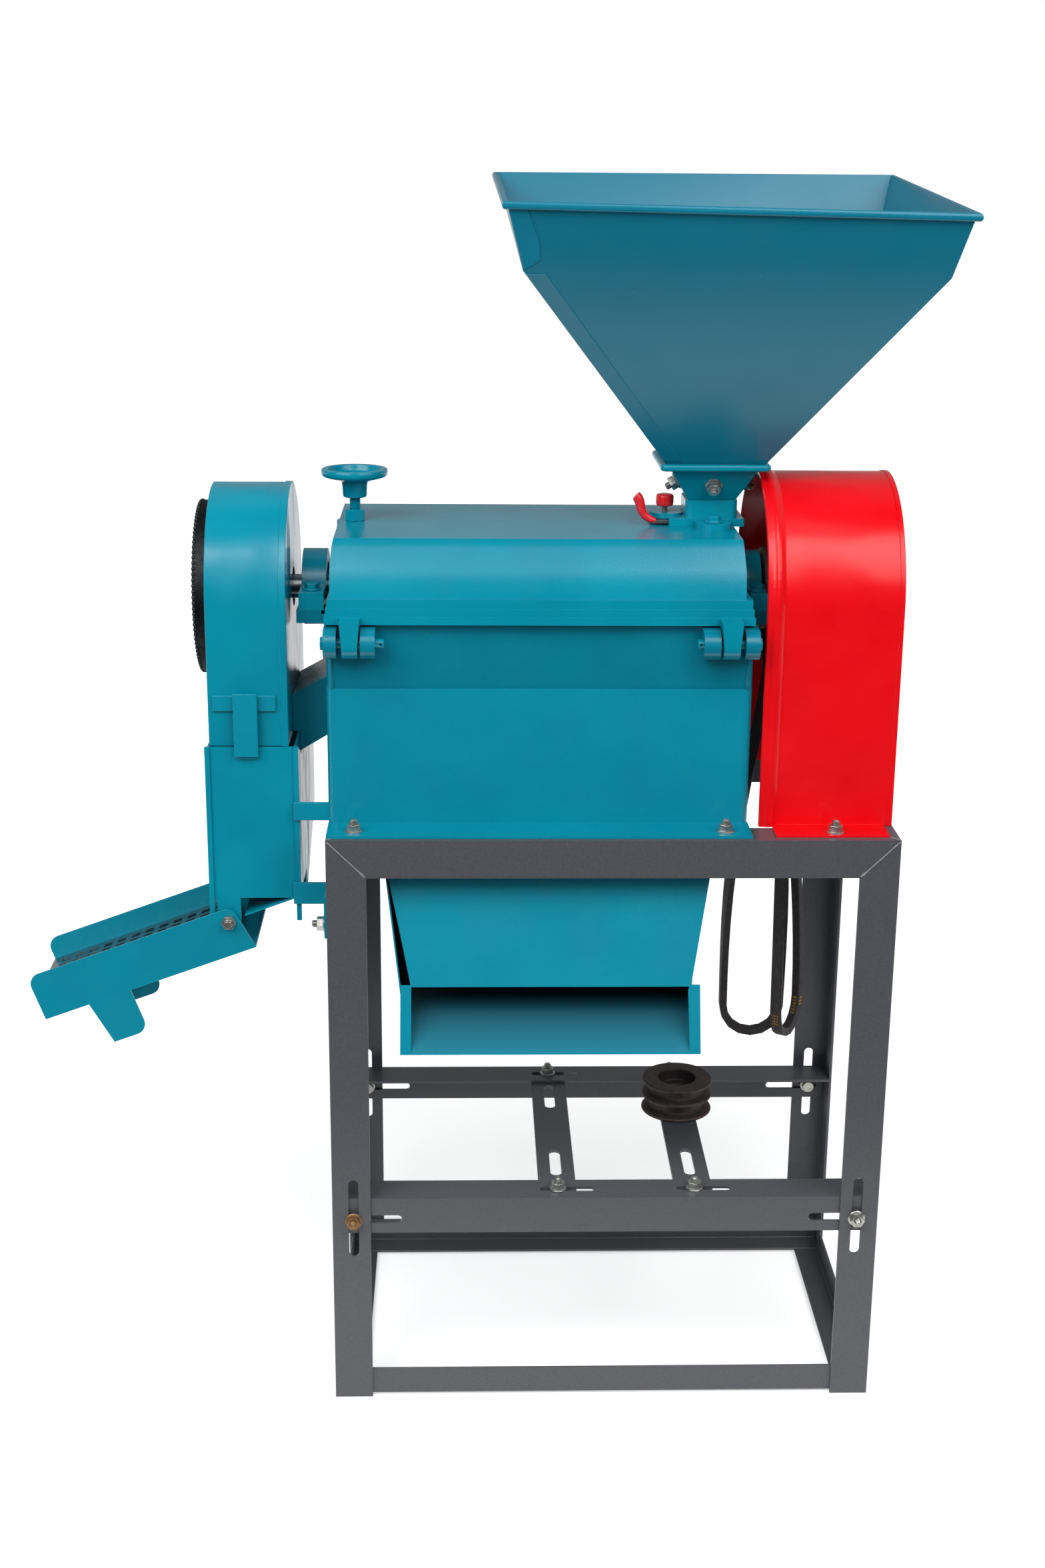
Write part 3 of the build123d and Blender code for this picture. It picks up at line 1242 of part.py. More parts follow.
def duct_clip():
    """Bridge and spring strip that hold the duct box to the fan casing."""
    casing_front = shaft_y - fan_radius
    bridge = block(clip_left, clip_right, casing_front - clip_wall, casing_front, clip_low, clip_high)
    strip = block(clip_strip_left, clip_strip_right, duct_front - 2 * clip_wall, duct_front - clip_wall,
                  clip_strip_low, clip_high + clip_wall)
    tab = block(clip_strip_left + clip_wall, clip_strip_right - clip_wall, duct_front - clip_wall, duct_front,
                clip_strip_low - clip_wall, duct_top - clip_wall)
    return bridge + strip + tab


def duct_strap():
    """Flat strap from the duct box to the mill skirt."""
    strap = block(duct_right - clip_wall, mill_left + corner_radius, duct_front - clip_wall - duct_wall,
                  duct_front - duct_wall, strap_low, strap_high)
    tab = block(mill_left - clip_wall, mill_left, duct_front - clip_wall - duct_wall, duct_front + corner_radius,
                strap_low, strap_high)
    cut = block(mill_left, mill_left + 2 * corner_radius, 0, stand_depth, strap_low - cut_over,
                strap_high + cut_over)
    return strap + tab - cut


def duct_bracket():
    """Bent bracket from the duct box to the left front post."""
    post_face = -half_width
    arm = block(duct_right - duct_hem, post_face, duct_front - clip_wall - duct_wall, duct_front - duct_wall,
                bracket_low, bracket_high)
    leg = block(post_face - clip_wall, post_face, bracket_tab_front, duct_front - duct_wall,
                bracket_low, bracket_high)
    tab = block(post_face - clip_wall, post_face, bracket_tab_front, bracket_tab_front + bracket_tab_width,
                bracket_tab_low, bracket_high)
    return arm + leg + tab - rod_x(m8_hole, post_face - angle_leg, 0, bracket_bolt_y, bracket_bolt_z)


def duct_bolts():
    """Bolt of the lower bracket, through the post."""
    seat = Pos(-half_width + angle_wall, bracket_bolt_y, bracket_bolt_z) * Rot(0, -90, 0)
    return solids_of(seat * m8_fastener(clip_wall + angle_wall))


# Grading tray.
def tray_point(along, down):
    """A place on the tray's side, measured down the slope and square to it from the pivot."""
    slope = math.radians(tray_slope)
    x = tray_pivot_x - along * math.cos(slope) + down * math.sin(slope)
    z = tray_pivot_z - along * math.sin(slope) - down * math.cos(slope)
    return (x, z)


def tray_side():
    """Side plate with its lower tab."""
    top = -tray_pivot_depth
    low = tray_height - tray_pivot_depth
    plate = polygon([tray_point(-tray_right_reach / 2, top), tray_point(tray_left_reach, top),
                     tray_point(tray_left_reach, low), tray_point(-tray_right_reach, low)])
    plate = fillet(plate.vertices().sort_by(Axis.Y)[-1:] + plate.vertices().sort_by(Axis.X)[:1], tray_corner)
    tab = polygon([tray_point(tray_tab_near, low - tray_wall), tray_point(tray_tab_far, low - tray_wall),
                   tray_point(tray_tab_far - tray_tab_lean, low + tray_tab_drop),
                   tray_point(tray_tab_near, low + tray_tab_drop)])
    corner = tab.vertices().sort_by(Axis.X)[-1:]
    return plate + fillet(corner, tray_corner)


def tray():
    """Two side plates joined by a floor that leads what falls through the mesh to the lower tab."""
    side = tray_side() - Pos(tray_pivot_x, tray_pivot_z) * Circle(m8_radius + running_gap)
    low = tray_height - tray_pivot_depth
    pan = along_y(side, tray_front, tray_front + tray_wall) + along_y(side, tray_rear - tray_wall, tray_rear)
    floor = polygon([tray_point(-tray_right_reach, low - tray_wall), tray_point(tray_tab_near, low - tray_wall),
                     tray_point(tray_tab_near, low), tray_point(-tray_right_reach, low)])
    end = polygon([tray_point(tray_tab_far, low - tray_mesh_drop + 2 * tray_mesh_wall),
                   tray_point(tray_tab_far - tray_wall, low - tray_mesh_drop + 2 * tray_mesh_wall),
                   tray_point(tray_tab_far - tray_tab_lean - tray_wall, low + tray_tab_drop),
                   tray_point(tray_tab_far - tray_tab_lean, low + tray_tab_drop)])
    for face in (floor, end):
        pan += along_y(face, tray_front, tray_rear)
    return pan


def tray_mesh():
    """Perforated floor of the tray."""
    drop = tray_mesh_drop - tray_pivot_depth
    length = tray_left_reach - m8_flange_radius
    width = tray_width - 2 * tray_wall
    sheet = Box(length, width, tray_mesh_wall)
    hole_x = (length - 2 * tray_mesh_margin) / tray_mesh_columns
    hole_y = (width - 2 * tray_mesh_margin) / tray_mesh_rows
    open_share = 1 - tray_mesh_bar_share
    for column in range(tray_mesh_columns):
        for row in range(tray_mesh_rows):
            place = Pos((column + 0.5) * hole_x + tray_mesh_margin - length / 2,
                        (row + 0.5) * hole_y + tray_mesh_margin - width / 2, 0)
            sheet -= place * Box(hole_x * open_share, hole_y * open_share, 2 * tray_mesh_wall)
    x, z = tray_point(tray_left_reach - length / 2, drop)
    return Pos(x, (tray_front + tray_rear) / 2, z) * Rot(0, -tray_slope, 0) * sheet


def tray_pivot():
    """Long pivot bolt through the tray's sides and the duct's lugs, a nut at each end."""
    low = tray_front - body_gap
    high = tray_rear + body_gap
    bolt = rod_y(m8_radius, low - m8_nut - m8_tail, high + m8_nut + m8_tail, tray_pivot_x, tray_pivot_z)
    turned = Pos(tray_pivot_x, 0, tray_pivot_z) * Rot(-90, 0, 0)
    return bolt + turned * hexagon(m8_across_flats, low - m8_nut, low) + turned * hexagon(m8_across_flats, high,
                                                                                       high + m8_nut)


# Belt guard.
def belt_guard():
    """Sheet guard: half drum on straight sides, open to the mill and below, with feet."""
    wide = guard_radius + guard_bead_step
    guard = along_x(arched(guard_radius, stand_top), guard_left, guard_right)
    guard += along_x(arched(wide, stand_top), guard_left, guard_left + guard_bead)
    guard -= along_x(arched(guard_radius - guard_wall, stand_top - cut_over), guard_left - cut_over,
                     guard_right - guard_wall)
    guard -= rod_x(vent_radius, guard_right - guard_wall - cut_over, guard_right + cut_over, shaft_y, shaft_z)
    front = shaft_y - guard_radius
    foot = block(guard_flange_left, guard_flange_right, front - guard_flange_reach, front + guard_wall,
                 stand_top, stand_top + guard_wall)
    foot -= rod_z(m8_hole, stand_top - cut_over, stand_top + cut_over + guard_wall, guard_bolt_x,
                  base_bolt_row)
    return guard + foot + mirror(foot, Plane(origin=(0, shaft_y, 0), z_dir=(0, 1, 0)))


def guard_vent():
    """Crimped ring and mesh in the guard's side plate."""
    low = guard_right
    ring = rod_x(vent_radius + vent_ring, low, low + vent_ring_wall, shaft_y, shaft_z)
    ring -= rod_x(vent_radius - vent_ring / 2, low - cut_over, low + vent_ring_wall + cut_over, shaft_y, shaft_z)
    return ring + wire_grid(vent_radius, low, mesh_wire, mesh_bars)


# Belts.
def belt_station(height, groove_x, turn, shift):
    """Middle and directions of a belt strand at a height below the shaft."""
    share = (shaft_z - height) / (shaft_z - belt_bottom_z - belt_bottom_radius)
    share = max(0.0, min(1.0, share))
    smooth = share * share * (3 - 2 * share)
    angle = math.radians(turn * smooth)
    outwards = Vector(-math.sin(angle), math.cos(angle), 0)
    across = Vector(math.cos(angle), math.sin(angle), 0)
    middle = Vector(groove_x + shift * smooth, shaft_y, height)
    return middle, outwards, across


def belt(groove_x, turn, shift):
    """V-belt hung in its groove and twisting as it falls to its lower bend."""
    top_radius = belt_outer - belt_height
    low_z = belt_bottom_z + belt_bottom_radius + belt_height
    low_radius = belt_bottom_radius
    stations = []
    for index in range(belt_arc_steps + 1):
        angle = math.pi * index / belt_arc_steps
        stations.append((top_radius * math.cos(angle), shaft_z + top_radius * math.sin(angle), math.cos(angle),
                         math.sin(angle)))
    fall = shaft_z - low_z
    for index in range(1, belt_steps):
        share = index / belt_steps
        reach = top_radius + (low_radius - top_radius) * share
        stations.append((-reach, shaft_z - fall * share, -1.0, 0.0))
    for index in range(belt_arc_steps + 1):
        angle = math.pi + math.pi * index / belt_arc_steps
        stations.append((low_radius * math.cos(angle), low_z + low_radius * math.sin(angle), math.cos(angle),
                         math.sin(angle)))
    for index in range(1, belt_steps):
        share = 1 - index / belt_steps
        reach = top_radius + (low_radius - top_radius) * share
        stations.append((reach, shaft_z - fall * share, 1.0, 0.0))
    sections = []
    for offset, height, normal_out, normal_up in stations:
        middle, outwards, across = belt_station(height, groove_x, turn, shift)
        inner = middle + outwards * offset
        normal = outwards * normal_out + Vector(0, 0, normal_up)
        outer = inner + normal * belt_height
        corners = [inner - across * belt_low_half, inner + across * belt_low_half,
                   outer + across * belt_top_half, outer - across * belt_top_half]
        sections.append(Wire([Edge.make_line(corners[i], corners[(i + 1) % 4]) for i in range(4)]))
    half = len(sections) // 2
    first = Solid.make_loft(sections[:half + 1], ruled=True)
    second = Solid.make_loft(sections[half:] + sections[:1], ruled=True)
    return first.fuse(second)


def swing_bolt():
    """Eye bolt with a wing nut, hanging from its pin."""
    eye = rod_x(swing_eye_radius, swing_x - swing_radius, swing_x + swing_radius, swing_pin_y, swing_pin_z)
    shank = rod_z(swing_radius - body_gap / 2, swing_pin_z - swing_length, swing_pin_z, swing_x, swing_pin_y)
    seat = swing_pin_z - swing_nut_seat
    hub = rod_z(swing_eye_radius, seat - swing_eye_radius, seat, swing_x, swing_pin_y)
    wing = along_y(polygon([(swing_x - swing_wing_half, seat - 2 * swing_eye_radius),
                            (swing_x - swing_radius, seat), (swing_x + swing_radius, seat),
                            (swing_x + swing_wing_half, seat - 2 * swing_eye_radius),
                            (swing_x + swing_radius, seat - swing_eye_radius),
                            (swing_x - swing_radius, seat - swing_eye_radius)]),
                   swing_pin_y - swing_radius / 2, swing_pin_y + swing_radius / 2)
    bore = rod_x(swing_pin_radius + running_gap, swing_x - swing_ear_half, swing_x + swing_ear_half,
                 swing_pin_y, swing_pin_z)
    return eye + shank + hub + wing - bore


front_left = post_front_left()
nodes = {
    "post_front_left": front_left - rod_x(m8_radius, -stand_width, 0, bracket_bolt_y, bracket_bolt_z),
    "post_front_right": mirrored(front_left, True, False),
    "post_rear_left": mirrored(front_left, False, True),
    "post_rear_right": mirrored(front_left, True, True),
    "top_beam_front": top_beam_front(),
    "top_beam_rear": mirrored(top_beam_front(), False, True),
    "top_beam_left": top_beam_left(),
    "top_beam_right": mirrored(top_beam_left(), True, False),
    "lower_rails": lower_rails(),
    "cross_rails": cross_rails(),
    "cross_rail_bolts": cross_rail_bolts(),
    "motor_rail_left": motor_rail(motor_rail_left_x),
    "motor_rail_right": motor_rail(motor_rail_right_x),
    "motor_rail_left_bolts": motor_rail_bolts(motor_rail_left_x),
    "motor_rail_right_bolts": motor_rail_bolts(motor_rail_right_x),
    "loose_pulley": loose_pulley(),
    "base_skirt": base_skirt(),
    "mill_base": mill_base(),
    "sieve": sieve(),
    "rice_knife": rice_knife(),
    "casting_bolts": casting_bolts(),
    "base_bolts": base_bolts(),
    "bearing_housing_left": bearing_housing(bearing_left_low, bearing_left_high),
    "bearing_housing_right": bearing_housing(bearing_right_low, bearing_right_high),
    "ball_bearings": ball_bearings(),
    "main_shaft": main_shaft(),
    "milling_roller": milling_roller(),
    "feed_screw": feed_screw(),
    "main_pulley": main_pulley(),
    "fan_impeller": fan_impeller(),
    "cover": cover(),
    "hinge_pins": hinge_pins(),
    "feed_neck": feed_neck(),
    "neck_bolts": neck_bolts(),
    "hopper_collar": hopper_collar(),
    "hopper_bolts": hopper_bolts(),
    "hopper": hopper(),
    "lock_nut": lock_nut(),
    "outlet_gate": outlet_gate(),
    "handwheel": handwheel(),
    "feed_gate": feed_gate(),
    "gate_grip": gate_grip(),
    "clamp_knob": clamp_knob(),
    "bran_chute": bran_chute(),
    "fan_casing": fan_casing(),
    "fan_inlet_guard": fan_inlet_guard(),
    "lower_duct": lower_duct(),
    "rice_spout": rice_spout(),
    "duct_clip": duct_clip(),
    "duct_strap": duct_strap(),
    "duct_bracket": duct_bracket(),
    "duct_bolts": duct_bolts(),
    "tray": tray(),
    "tray_mesh": tray_mesh(),
    "tray_pivot": tray_pivot(),
    "belt_guard": belt_guard(),
    "guard_vent": guard_vent(),
    "belt_inner": belt(groove_left_x, belt_inner_turn, belt_inner_shift),
    "belt_outer": belt(groove_right_x, belt_outer_turn, belt_outer_shift),
    "swing_bolt": swing_bolt(),
}

# The row's origin is on the floor, under the middle of the whole machine.
whole = Compound(children=[shape for shape in nodes.values()]).bounding_box()
shift_x = -(whole.min.X + whole.max.X) / 2
shift_y = -(whole.min.Y + whole.max.Y) / 2
shift_z = -whole.min.Z
print("shift", round(shift_x, 3), round(shift_y, 3), round(shift_z, 3))
print("size", round(whole.size.X, 2), round(whole.size.Y, 2), round(whole.size.Z, 2))

for name, shape in nodes.items():
    solids = shape.solids()
    moved = Pos(shift_x, shift_y, shift_z) * (Compound(children=list(solids)) if len(solids) > 1 else solids[0])
    moved.label = name
    export_step(moved, os.path.join("parts", name + ".step"))
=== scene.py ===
# %% [markdown]
# # Dress a rice huller for a catalogue picture
# The machine comes in as a imported CAD model: every sheet, casting and bolt has its true size and place.
# This lesson gives it its finishes, rounds its edges as press tools, foundry sand and thick paint leave
# them, and models the small things that a CAD model leaves plain, such as threads and crimps.

# %% Load the imported model
import json
import math

import bpy
from mathutils import Matrix, Vector


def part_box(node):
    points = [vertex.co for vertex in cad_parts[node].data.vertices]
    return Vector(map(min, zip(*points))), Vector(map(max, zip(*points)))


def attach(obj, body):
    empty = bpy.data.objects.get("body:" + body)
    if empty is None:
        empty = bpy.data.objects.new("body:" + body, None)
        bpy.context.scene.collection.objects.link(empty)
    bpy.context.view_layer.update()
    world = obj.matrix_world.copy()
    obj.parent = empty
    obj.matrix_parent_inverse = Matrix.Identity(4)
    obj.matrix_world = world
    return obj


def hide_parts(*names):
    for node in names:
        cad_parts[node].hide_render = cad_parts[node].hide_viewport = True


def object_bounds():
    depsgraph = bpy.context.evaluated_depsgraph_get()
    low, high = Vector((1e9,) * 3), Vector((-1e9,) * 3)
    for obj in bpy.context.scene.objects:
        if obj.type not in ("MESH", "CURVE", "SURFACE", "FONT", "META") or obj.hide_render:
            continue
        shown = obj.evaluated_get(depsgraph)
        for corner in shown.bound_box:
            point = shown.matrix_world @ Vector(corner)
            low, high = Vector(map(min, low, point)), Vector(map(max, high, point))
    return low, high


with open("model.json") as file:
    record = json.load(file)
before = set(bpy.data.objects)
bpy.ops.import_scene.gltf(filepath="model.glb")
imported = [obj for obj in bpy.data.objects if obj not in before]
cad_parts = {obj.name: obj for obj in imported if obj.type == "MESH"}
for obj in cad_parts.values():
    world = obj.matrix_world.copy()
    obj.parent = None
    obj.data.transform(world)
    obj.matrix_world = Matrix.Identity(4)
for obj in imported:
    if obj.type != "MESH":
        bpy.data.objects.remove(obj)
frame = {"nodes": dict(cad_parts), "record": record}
cad_low, cad_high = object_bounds()
mm = 0.001
bodies = frame["record"]["behaviour"]["bodies"]
body_of_node = {node: body for body, nodes in bodies.items() for node in nodes}
print("nodes", len(frame["nodes"]), "size in mm", [round(side / mm) for side in cad_high - cad_low])

# %% [markdown]
# Everything here is measured from the middle of the stand's front, on the floor. X runs along the front, Y
# to the back and Z up, and `at` turns millimetres into metres in the scene. A few places are used often, so
# they get names: the shaft, the cover's hinge, the hopper's throat, and the tops of the stand and the cover.

# %% The stand's own axes
stand_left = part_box("post_front_left")[0]
stand_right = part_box("post_front_right")[1]
stand_middle = Vector(((stand_left.x + stand_right.x) / 2, stand_left.y, stand_left.z))


def at(x, y, z):
    """A place in metres from millimetres off the middle of the stand's front, on the floor."""
    return stand_middle + Vector((x, y, z)) * mm


shaft_y, shaft_z = 167, 855
hinge_y, hinge_z = 30, 826
feed_x = 102
beam_top = 633
cover_top = 924
print("stand is", round((stand_right.x - stand_left.x) / mm), "mm wide")

# %% [markdown]
# A long lens a little above the machine and two metres away looks slightly down and to the right. The
# three angles, in radians, turn a camera that starts out looking along Y, level.

# %% Camera
camera_place = at(-149.8, -1955.1, 1288.4)
camera_down = 0.2961
camera_right = 0.0295
camera_roll = 0.0091
long_side_px = 2352
focal_px = 3114.7
sensor_mm = 36.0

camera_data = bpy.data.cameras.new("camera")
camera_data.sensor_width = sensor_mm
camera_data.lens = focal_px / long_side_px * sensor_mm
camera = bpy.data.objects.new("camera", camera_data)
bpy.context.scene.collection.objects.link(camera)
forward = Vector((math.sin(camera_right) * math.cos(camera_down),
                  math.cos(camera_right) * math.cos(camera_down), -math.sin(camera_down)))
sideways = Vector((math.cos(camera_right), -math.sin(camera_right), 0))
upward = sideways.cross(forward)
turned_side = sideways * math.cos(camera_roll) + upward * math.sin(camera_roll)
turned_up = upward * math.cos(camera_roll) - sideways * math.sin(camera_roll)
axes = Matrix((turned_side, turned_up, -forward)).transposed()
camera.matrix_world = Matrix.Translation(camera_place) @ axes.to_4x4()
bpy.context.scene.camera = camera
print("lens", round(camera_data.lens, 2), "mm")

# %% [markdown]
# A few small helpers serve every material. Hex colours are written as a screen shows them, so they are
# turned to linear light first. Nodes are added by one function that takes settings and links, and the kinds
# that come up often have a short function each.

# %% Helpers for materials


def hex_colour(code):
    """An sRGB hex colour as linear red, green, blue and one."""
    shares = [int(code[i:i + 2], 16) / 255 for i in (1, 3, 5)]
    linear = [share / 12.92 if share <= 0.04045 else ((share + 0.055) / 1.055) ** 2.4 for share in shares]
    return linear + [1.0]


def add_node(tree, kind, settings=None, inputs=None):
    """One node with its properties set. An input takes a value, or a socket to link."""
    node = tree.nodes.new(kind)
    for name, value in (settings or {}).items():
        setattr(node, name, value)
    for name, value in (inputs or {}).items():
        if isinstance(value, bpy.types.NodeSocket):
            tree.links.new(value, node.inputs[name])
        else:
            node.inputs[name].default_value = value
    return node


def new_material(name):
    """An empty material with its shader and the Object coordinates of the piece."""
    material = bpy.data.materials.new(name)
    material.use_nodes = True
    tree = material.node_tree
    shader = tree.nodes["Principled BSDF"]
    place = add_node(tree, "ShaderNodeTexCoord").outputs["Object"]
    return material, tree, shader, place


def noise(tree, place, size_mm, detail=2.0, stretch=(1.0, 1.0, 1.0)):
    """Noise whose blotches are about size_mm across."""
    spread = add_node(tree, "ShaderNodeVectorMath", {"operation": "MULTIPLY"}, {0: place, 1: stretch})
    inputs = {"Vector": spread.outputs[0], "Scale": 1.0 / (size_mm * mm), "Detail": detail}
    return add_node(tree, "ShaderNodeTexNoise", None, inputs).outputs["Fac"]


def ramp(tree, value, low, high, low_colour, high_colour):
    """A colour that goes from one to another while the value goes from low to high."""
    node = add_node(tree, "ShaderNodeValToRGB", None, {"Fac": value})
    ends = node.color_ramp.elements
    ends[0].position, ends[0].color = low, low_colour
    ends[1].position, ends[1].color = high, high_colour
    return node.outputs["Color"]


def remap(tree, value, low, high, to_low, to_high):
    """A value carried from one range to another and held at its ends."""
    inputs = {"Value": value, "From Min": low, "From Max": high, "To Min": to_low, "To Max": to_high}
    return add_node(tree, "ShaderNodeMapRange", None, inputs).outputs[0]


def combined(tree, operation, first, second):
    """One value made from two."""
    return add_node(tree, "ShaderNodeMath", {"operation": operation}, {0: first, 1: second}).outputs[0]


def grey(level):
    """A neutral colour in linear light."""
    return [level, level, level, 1.0]


def bumps(tree, height, depth_mm, normal=None):
    """A normal from a height of so many millimetres."""
    inputs = {"Height": height, "Distance": depth_mm * mm, "Strength": 1.0}
    if normal is not None:
        inputs["Normal"] = normal
    return add_node(tree, "ShaderNodeBump", None, inputs).outputs["Normal"]


# %% [markdown]
# Enamel is a thick, glossy coat with a slight orange peel. It has an index of refraction of about 1.5 and no
# metal in it. The peel's ripples are 1 to 4 mm wide and no deeper than a hair is thick. Thin sheet was never
# quite flat, so its reflections also wander in wide waves.

# %% Enamel
dust_roughness = 0.06


def enamel(name, colour, worn, peel_mm, peel_depth_mm, roughness, waves_mm=0.0):
    """Gloss paint over sheet or castings, with a slow drift of tone and, on thin sheet, wide waves."""
    material, tree, shader, place = new_material(name)
    drift = ramp(tree, noise(tree, place, 90.0, 3.0), 0.35, 0.7, hex_colour(colour), hex_colour(worn))
    shader.inputs["IOR"].default_value = 1.5
    shader.inputs["Specular IOR Level"].default_value = 0.4
    tree.links.new(drift, shader.inputs["Base Color"])
    dusty_patches = noise(tree, place, 40.0, 4.0)
    rough = ramp(tree, dusty_patches, 0.3, 0.75, grey(roughness), grey(roughness + dust_roughness))
    tree.links.new(rough, shader.inputs["Roughness"])
    sheet = None
    if waves_mm:
        sheet = bumps(tree, noise(tree, place, 75.0, 1.0, (1.0, 1.0, 0.6)), waves_mm)
    peel = noise(tree, place, peel_mm, 1.5)
    tree.links.new(bumps(tree, peel, peel_depth_mm, sheet), shader.inputs["Normal"])
    return material


teal_sheet = enamel("teal_enamel_on_sheet", "#007e95", "#00849a", 4.0, 0.02, 0.24)
teal_cast = enamel("teal_enamel_on_casting", "#007e95", "#00869c", 1.8, 0.07, 0.19)
thin_sheet = enamel("teal_enamel_on_thin_wavy_sheet", "#007e95", "#00869c", 4.0, 0.02, 0.21, 9.0)
# The mill base's teal is darker than the rest: partly thin paint on rough iron, partly painted shade under
# the cover's foot.
darker_teal_with_painted_shade = enamel("darker_teal_enamel_on_rough_iron_with_painted_shade", "#006d83", "#00788e", 1.3, 0.09, 0.22)
hopper_sheet = enamel("blue_enamel_on_hopper", "#096e86", "#0c7089", 4.0, 0.02, 0.22)
red_sheet = enamel("red_enamel_on_sheet", "#d8000c", "#e00c16", 4.0, 0.02, 0.22, 3.5)

# %% [markdown]
# The stand's paint is a thin, satin grey straight on rolled angle iron, so it shows a fine grain.

# %% Satin paint
stand_paint, tree, shader, place = new_material("satin_grey_paint")
grain = ramp(tree, noise(tree, place, 2.2, 4.0), 0.3, 0.75, hex_colour("#47484d"), hex_colour("#505156"))
tree.links.new(grain, shader.inputs["Base Color"])
shader.inputs["Roughness"].default_value = 0.36
tree.links.new(bumps(tree, noise(tree, place, 1.6, 3.0), 0.03), shader.inputs["Normal"])

# %% [markdown]
# Zinc plate on fasteners, machined steel, raw cast iron, belt rubber and dipped plastic follow. A metal's
# colour is its reflection. Dull zinc, rust and the skin of raw iron cover part of the metal, so those three
# are set a little below full metal.

# %% Metals, rubber and plastic


def metal(name, colour, stain, roughness, grain_mm, depth_mm, metallic=1.0):
    """Bare or plated metal with a slow stain and a fine grain."""
    material, tree, shader, place = new_material(name)
    blotches = noise(tree, place, grain_mm * 4, 3.0)
    tone = ramp(tree, blotches, 0.35, 0.75, hex_colour(colour), hex_colour(stain))
    tree.links.new(tone, shader.inputs["Base Color"])
    shader.inputs["Metallic"].default_value = metallic
    shader.inputs["Roughness"].default_value = roughness
    tree.links.new(bumps(tree, noise(tree, place, grain_mm, 3.0), depth_mm), shader.inputs["Normal"])
    return material


zinc = metal("zinc_plate", "#bdbdb8", "#93928c", 0.3, 1.5, 0.01, 0.85)
rusty_zinc = metal("zinc_plate_gone_brown", "#7d5c3e", "#a07c52", 0.5, 0.8, 0.03, 0.6)
steel = metal("machined_steel", "#b9b9bb", "#a3a3a5", 0.3, 2.0, 0.01)
iron = metal("raw_cast_iron", "#4a4444", "#5d4f49", 0.62, 1.6, 0.12, 0.7)
dark_wire_and_painted_shade = metal("dark_wire_with_painted_shade_on_the_crimps", "#3a3d40", "#50504e", 0.5, 1.0, 0.02)
plate_steel = metal("mill_scale_plate", "#77706c", "#8f8a84", 0.45, 3.0, 0.03)

rubber, tree, shader, place = new_material("belt_rubber")
shade = ramp(tree, noise(tree, place, 6.0, 4.0), 0.3, 0.8, hex_colour("#262224"), hex_colour("#3a3534"))
tree.links.new(shade, shader.inputs["Base Color"])
shader.inputs["Roughness"].default_value = 0.72
tree.links.new(bumps(tree, noise(tree, place, 0.9, 2.0), 0.05), shader.inputs["Normal"])

red_plastic, tree, shader, place = new_material("red_dipped_plastic")
shade = ramp(tree, noise(tree, place, 8.0, 2.0), 0.3, 0.8, hex_colour("#d3121c"), hex_colour("#e02f36"))
tree.links.new(shade, shader.inputs["Base Color"])
shader.inputs["Roughness"].default_value = 0.3

# %% [markdown]
# A CAD node arrives as loose triangles with knife-sharp edges. Real edges are never sharp: shears leave a
# burr, presses a bend, sand moulds a generous round, and paint draws back from all of them, so each edge
# catches a thin line of light. A copy of the node is merged, its flat faces are made whole again, and a
# Bevel modifier rounds every edge over 30 degrees. Weighted normals then keep the flat faces flat.


def select_only(piece):
    """Nothing else is selected or active."""
    if bpy.context.object and bpy.context.object.mode == "EDIT":
        bpy.ops.object.mode_set(mode="OBJECT")
    bpy.ops.object.select_all(action="DESELECT")
    piece.select_set(True)
    bpy.context.view_layer.objects.active = piece


def apply_all(piece):
    """Apply every modifier of a piece, top to bottom."""
    select_only(piece)
    for modifier in list(piece.modifiers):
        bpy.ops.object.modifier_apply(modifier=modifier.name)


def merged_copy(node):
    """A CAD node's shape as a new piece of whole faces."""
    piece = bpy.data.objects.new(node + "_dressed", frame["nodes"][node].data.copy())
    bpy.context.scene.collection.objects.link(piece)
    select_only(piece)
    if piece.data.has_custom_normals:
        bpy.ops.mesh.customdata_custom_splitnormals_clear()
    bpy.ops.object.mode_set(mode="EDIT")
    bpy.ops.mesh.select_all(action="SELECT")
    bpy.ops.mesh.remove_doubles(threshold=0.005 * mm)
    bpy.ops.mesh.dissolve_limited(angle_limit=math.radians(0.4))
    bpy.ops.object.mode_set(mode="OBJECT")
    return piece


def painted(piece, finish):
    """One finish all over."""
    piece.data.materials.clear()
    piece.data.materials.append(finish)
    return piece


def settle(piece, node, finish=None):
    """Give a finished piece its paint and its body, and hide the node that it stands for."""
    if finish:
        painted(piece, finish)
    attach(piece, body_of_node[node])
    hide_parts(node)


def rounded(piece, round_mm, steps=2, smooth=35.0):
    """Round every sharp edge and keep the flat faces flat."""
    select_only(piece)
    bevel = piece.modifiers.new("round", "BEVEL")
    bevel.width = round_mm * mm
    bevel.segments = steps
    bevel.limit_method = "ANGLE"
    bevel.angle_limit = math.radians(30)
    bevel.miter_outer = "MITER_ARC"
    weighted = piece.modifiers.new("flat", "WEIGHTED_NORMAL")
    weighted.keep_sharp = True
    bpy.ops.object.shade_smooth_by_angle(angle=math.radians(smooth))
    apply_all(piece)
    return piece


def dressed(node, finish, round_mm):
    """A CAD node with rounded edges, painted and put on its body."""
    settle(rounded(merged_copy(node), round_mm), node, finish)


def choose(piece, test):
    """Go into edit mode with only those points selected whose place in stand millimetres passes a test."""
    select_only(piece)
    bpy.ops.object.mode_set(mode="EDIT")
    bpy.ops.mesh.select_mode(type="VERT")
    bpy.ops.mesh.select_all(action="DESELECT")
    bpy.ops.object.mode_set(mode="OBJECT")
    for point in piece.data.vertices:
        point.select = test(*((point.co - stand_middle) / mm))
    bpy.ops.object.mode_set(mode="EDIT")


